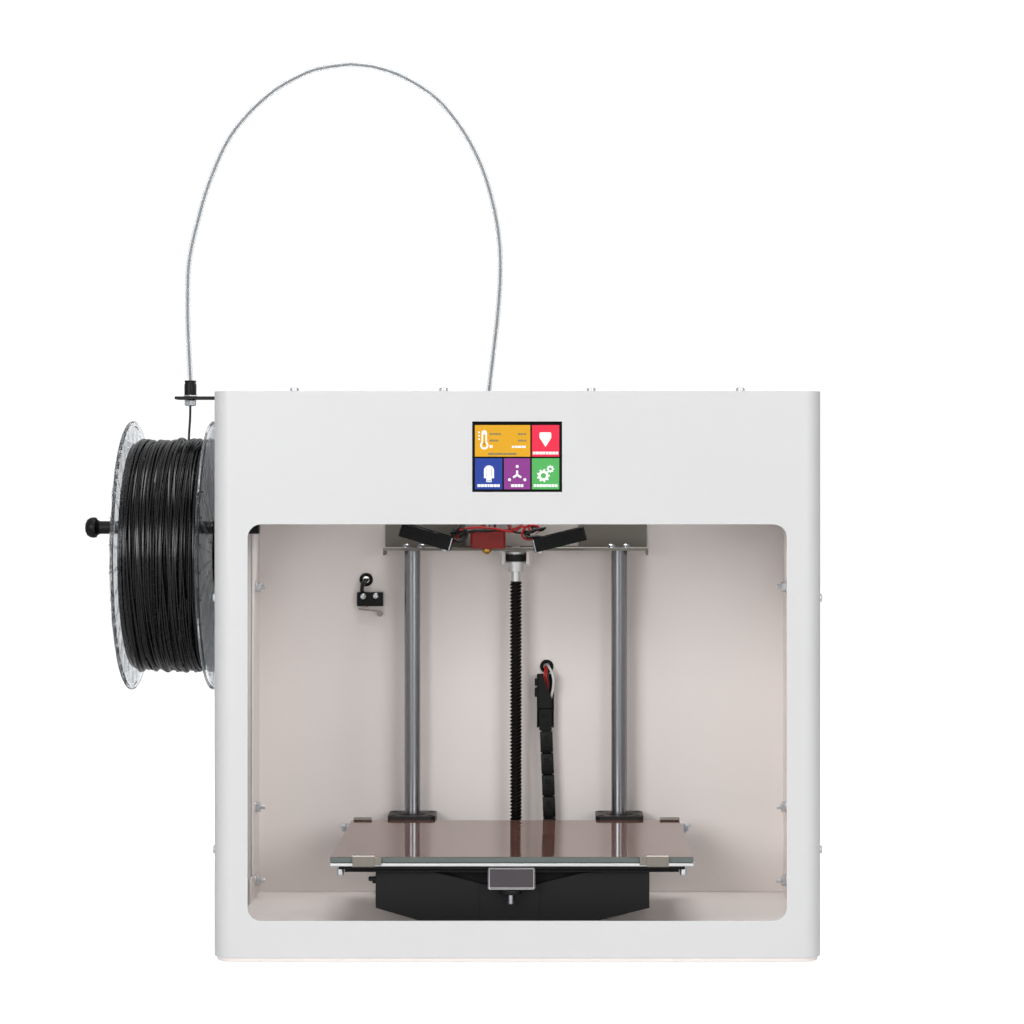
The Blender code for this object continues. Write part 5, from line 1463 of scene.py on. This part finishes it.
# Strands: one even layer round a dark core, then loose turns that wander over it and cross.
random.seed(7)
WOUND_LEFT, WOUND_RIGHT = -0.2863, -0.2312
WOUND_RADIUS = 0.0838
STEPS_PER_TURN = 72
turns = round((WOUND_RIGHT - WOUND_LEFT) / (2.06 * FILAMENT_RADIUS))
strands = []
even = []
for i in range(turns * STEPS_PER_TURN + 1):
    angle = 2 * math.pi * i / STEPS_PER_TURN
    share = i / (turns * STEPS_PER_TURN)
    radius = WOUND_RADIUS + 0.0004 * math.sin(angle * 0.37) + 0.0003 * math.sin(angle * 1.7)
    even.append(SPOOL_PLACE + Vector((
        WOUND_LEFT + (WOUND_RIGHT - WOUND_LEFT) * share + 0.0004 * math.sin(angle * 0.61),
        radius * math.sin(angle), radius * math.cos(angle))))
strands.append(even)
for _ in range(44):
    start = random.uniform(WOUND_LEFT, WOUND_RIGHT)
    drift = random.uniform(-0.010, 0.010)
    sway = random.uniform(0.0005, 0.0030)
    phase = random.uniform(0, 2 * math.pi)
    rise = random.uniform(0.0008, 0.0030)
    wave = random.choice((1, 2, 2, 3))
    loose = []
    for i in range(STEPS_PER_TURN + 9):
        angle = 2 * math.pi * i / STEPS_PER_TURN + phase
        share = i / (STEPS_PER_TURN + 8)
        across = start + drift * share + sway * math.sin(wave * angle)
        across = min(max(across, WOUND_LEFT + 0.0002), WOUND_RIGHT - 0.0002)
        dip = math.sin(math.pi * share) ** 0.4 if 0 < share < 1 else 0.0
        radius = WOUND_RADIUS + 0.0006 + rise * dip * (0.6 + 0.4 * math.sin(angle * wave + phase))
        loose.append(SPOOL_PLACE + Vector((across, radius * math.sin(angle), radius * math.cos(angle))))
    strands.append(loose)
wound = wire("wound_filament", strands, FILAMENT_RADIUS, pla, 1)
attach(wound, "spool")
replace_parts(wound, "filament_winding")
core = bmesh.new()
turned(core, [(HUB_RADIUS, SPOOL_LEFT + 0.0032), (WOUND_RADIUS, SPOOL_LEFT + 0.0032),
              (WOUND_RADIUS, SPOOL_RIGHT - 0.0032), (HUB_RADIUS, SPOOL_RIGHT - 0.0032)], SPOOL_PLACE, RIGHT,
       72,
       closed=True)
piece("wound_core", core, pla, "spool")

rod = bmesh.new()
turned(rod, [(0, -0.3250), (0.0034, -0.3246), (0.0060, -0.3233), (0.0074, -0.3210), (0.0077, -0.3185),
             (0.0074, -0.3168), (0.0060, -0.3160), (0.0054, -0.3150), (0.0048, -0.3140), (0.0048, -0.1955),
             (0.0043, -0.1950), (0, -0.1950)], at(0, 0.195, 0.2917), RIGHT, 48)
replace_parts(piece("spool_holder", rod, abs_black, "cabinet"), "spool_rod")

finished_copy("guide_bracket", "guide_plate", black_coat, "cabinet", 0.0003)
GUIDE = at(-0.2465, 0.195, 0)
fitting = bmesh.new()
turned(fitting, [(0.0021, 0.3825), (0.0032, 0.3825), (0.0032, 0.3896), (0.0043, 0.3896), (0.0045, 0.3900),
                 (0.0045, 0.3985),
                 (0.0041, 0.3992), (0.0041, 0.4002), (0.0044, 0.4006), (0.0042, 0.4015), (0.0021, 0.4015)],
       GUIDE, UP, 40, closed=True)
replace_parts(piece("tube_fitting", fitting, abs_black, "cabinet"), "guide_fitting")
guide_nut = bmesh.new()
disc(guide_nut, GUIDE + UP * 0.3826, GUIDE + UP * 0.3870, 0.0046, edge=0.0004, sides=6)
disc(guide_nut, GUIDE + UP * 0.3894, GUIDE + UP * 0.3906, 0.0052, edge=0.0003, sides=6)
piece("guide_nut", guide_nut, zinc, "cabinet")
strand = wire("spool_strand", [lead((-0.2478, 0.1950, 0.3560), (-0.2474, 0.1950, 0.3640),
                                    (-0.2467, 0.1950, 0.3760), (-0.2465, 0.1950, 0.4016))],
              FILAMENT_RADIUS, pla, 2)
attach(strand, "cabinet")

# ---- Electronics ----
# Behind the chamber wall: the main board on its stand-offs, the power supply in a perforated case and the
# mains inlet with a rocker switch.

# Solder mask: green, glossy, with fine copper tracks that show through it.
mask, mask_tree, _, mask_place = start_material("solder_masked_board", "14532f", 0.3)
add(mask_tree, "TexBrick", {
    "Vector": mask_place, "Scale": 260.0, "Color1": linear("14532f"), "Color2": linear("185f38"),
    "Mortar": linear("2b7a4b"), "Mortar Size": 0.03,
}, "Base Color")
finished_copy("main_board", "mainboard", mask, "cabinet", 0.0002, 1)
chips = bmesh.new()
for across, height in ((0.070, 0.166), (0.088, 0.166), (0.106, 0.166), (0.124, 0.166), (0.142, 0.166)):
    block(chips, at(across - 0.0045, 0.2666, height - 0.0045),
          at(across + 0.0045, 0.2740, height + 0.0045), 0.0003)
    for fin in range(5):
        block(chips, at(across - 0.0040 + 0.0019 * fin, 0.2740, height - 0.0042),
              at(across - 0.0032 + 0.0019 * fin, 0.2790, height + 0.0042))
piece("driver_coolers", chips, anodised, "cabinet")
sockets = bmesh.new()
for across in (0.062, 0.074, 0.086, 0.098, 0.110, 0.122):
    block(sockets, at(across - 0.0046, 0.2666, 0.0945), at(across + 0.0046, 0.2740, 0.1005), 0.0003)
piece("board_sockets", sockets, white_pvc, "cabinet")
cans = bmesh.new()
for across, height in ((0.160, 0.115), (0.160, 0.130), (0.168, 0.150)):
    disc(cans, at(across, 0.2666, height), at(across, 0.2790, height), 0.0050, edge=0.0006, sides=28)
piece("board_capacitors", cans, milled, "cabinet")

# Perforated steel: zinc-coated sheet with rows of round holes, 6 mm apart. The holes are not cut: they are
# painted near black, painted shade for the dark inside of the case.
HOLE_PITCH = 0.006
pierced, pierced_tree, _, pierced_place = start_material("perforated_zinc_sheet", "b9bcbf", 0.4, 1.0)
pierced_cells = add(pierced_tree, "TexVoronoi", {
    "Vector": pierced_place, "Scale": 1 / HOLE_PITCH, "Randomness": 0.0,
})
hole_shade_mask = add(pierced_tree, "MapRange", {
    "Value": pierced_cells, "From Min": 0.27, "From Max": 0.31, "To Min": 1.0, "To Max": 0.0,
})
add(pierced_tree, "MixRGB", {
    "Fac": hole_shade_mask, "Color1": linear("b9bcbf"), "Color2": linear("0c0c0d"),
}, "Base Color")
finished_copy("supply_case", "power_supply", pierced, "cabinet", 0.0005)
finished_copy("mains_inlet", "power_inlet", abs_black, "cabinet", 0.0006, 3)
finished_copy("mains_rocker", "rocker_switch", abs_black, "rocker_switch", 0.0006, 3)
prongs = bmesh.new()
for across, height in ((0.1350, 0.0510), (0.1400, 0.0555), (0.1450, 0.0510)):
    block(prongs, at(across - 0.0010, 0.4000, height - 0.0020),
          at(across + 0.0010, 0.4108, height + 0.0020), 0.0003)
piece("inlet_prongs", prongs, brass, "cabinet")
inlet_screws = bmesh.new()
for across in (0.1235, 0.1765):
    pan_head(inlet_screws, at(across, 0.4115, 0.053), -FORWARD, 0.0024, 0.0005)
piece("inlet_screws", inlet_screws, zinc, "cabinet")

# ---- Feet ----
# Four rubber pads pressed onto the feet of the base keep the printer from sliding.

PAD = [(0.0002, 0.0001), (0.0098, 0.0001), (0.0108, 0.0010), (0.0108, 0.0058), (0.0101, 0.0066),
       (0.0100, 0.0066), (0.0100, 0.0012), (0.0002, 0.0012)]
pads = bmesh.new()
for across in (-0.165, 0.165):
    for depth in (0.040, 0.370):
        turned(pads, PAD, at(across, depth, 0), UP, 48, closed=True)
piece("foot_pads", pads, rubber, "cabinet")
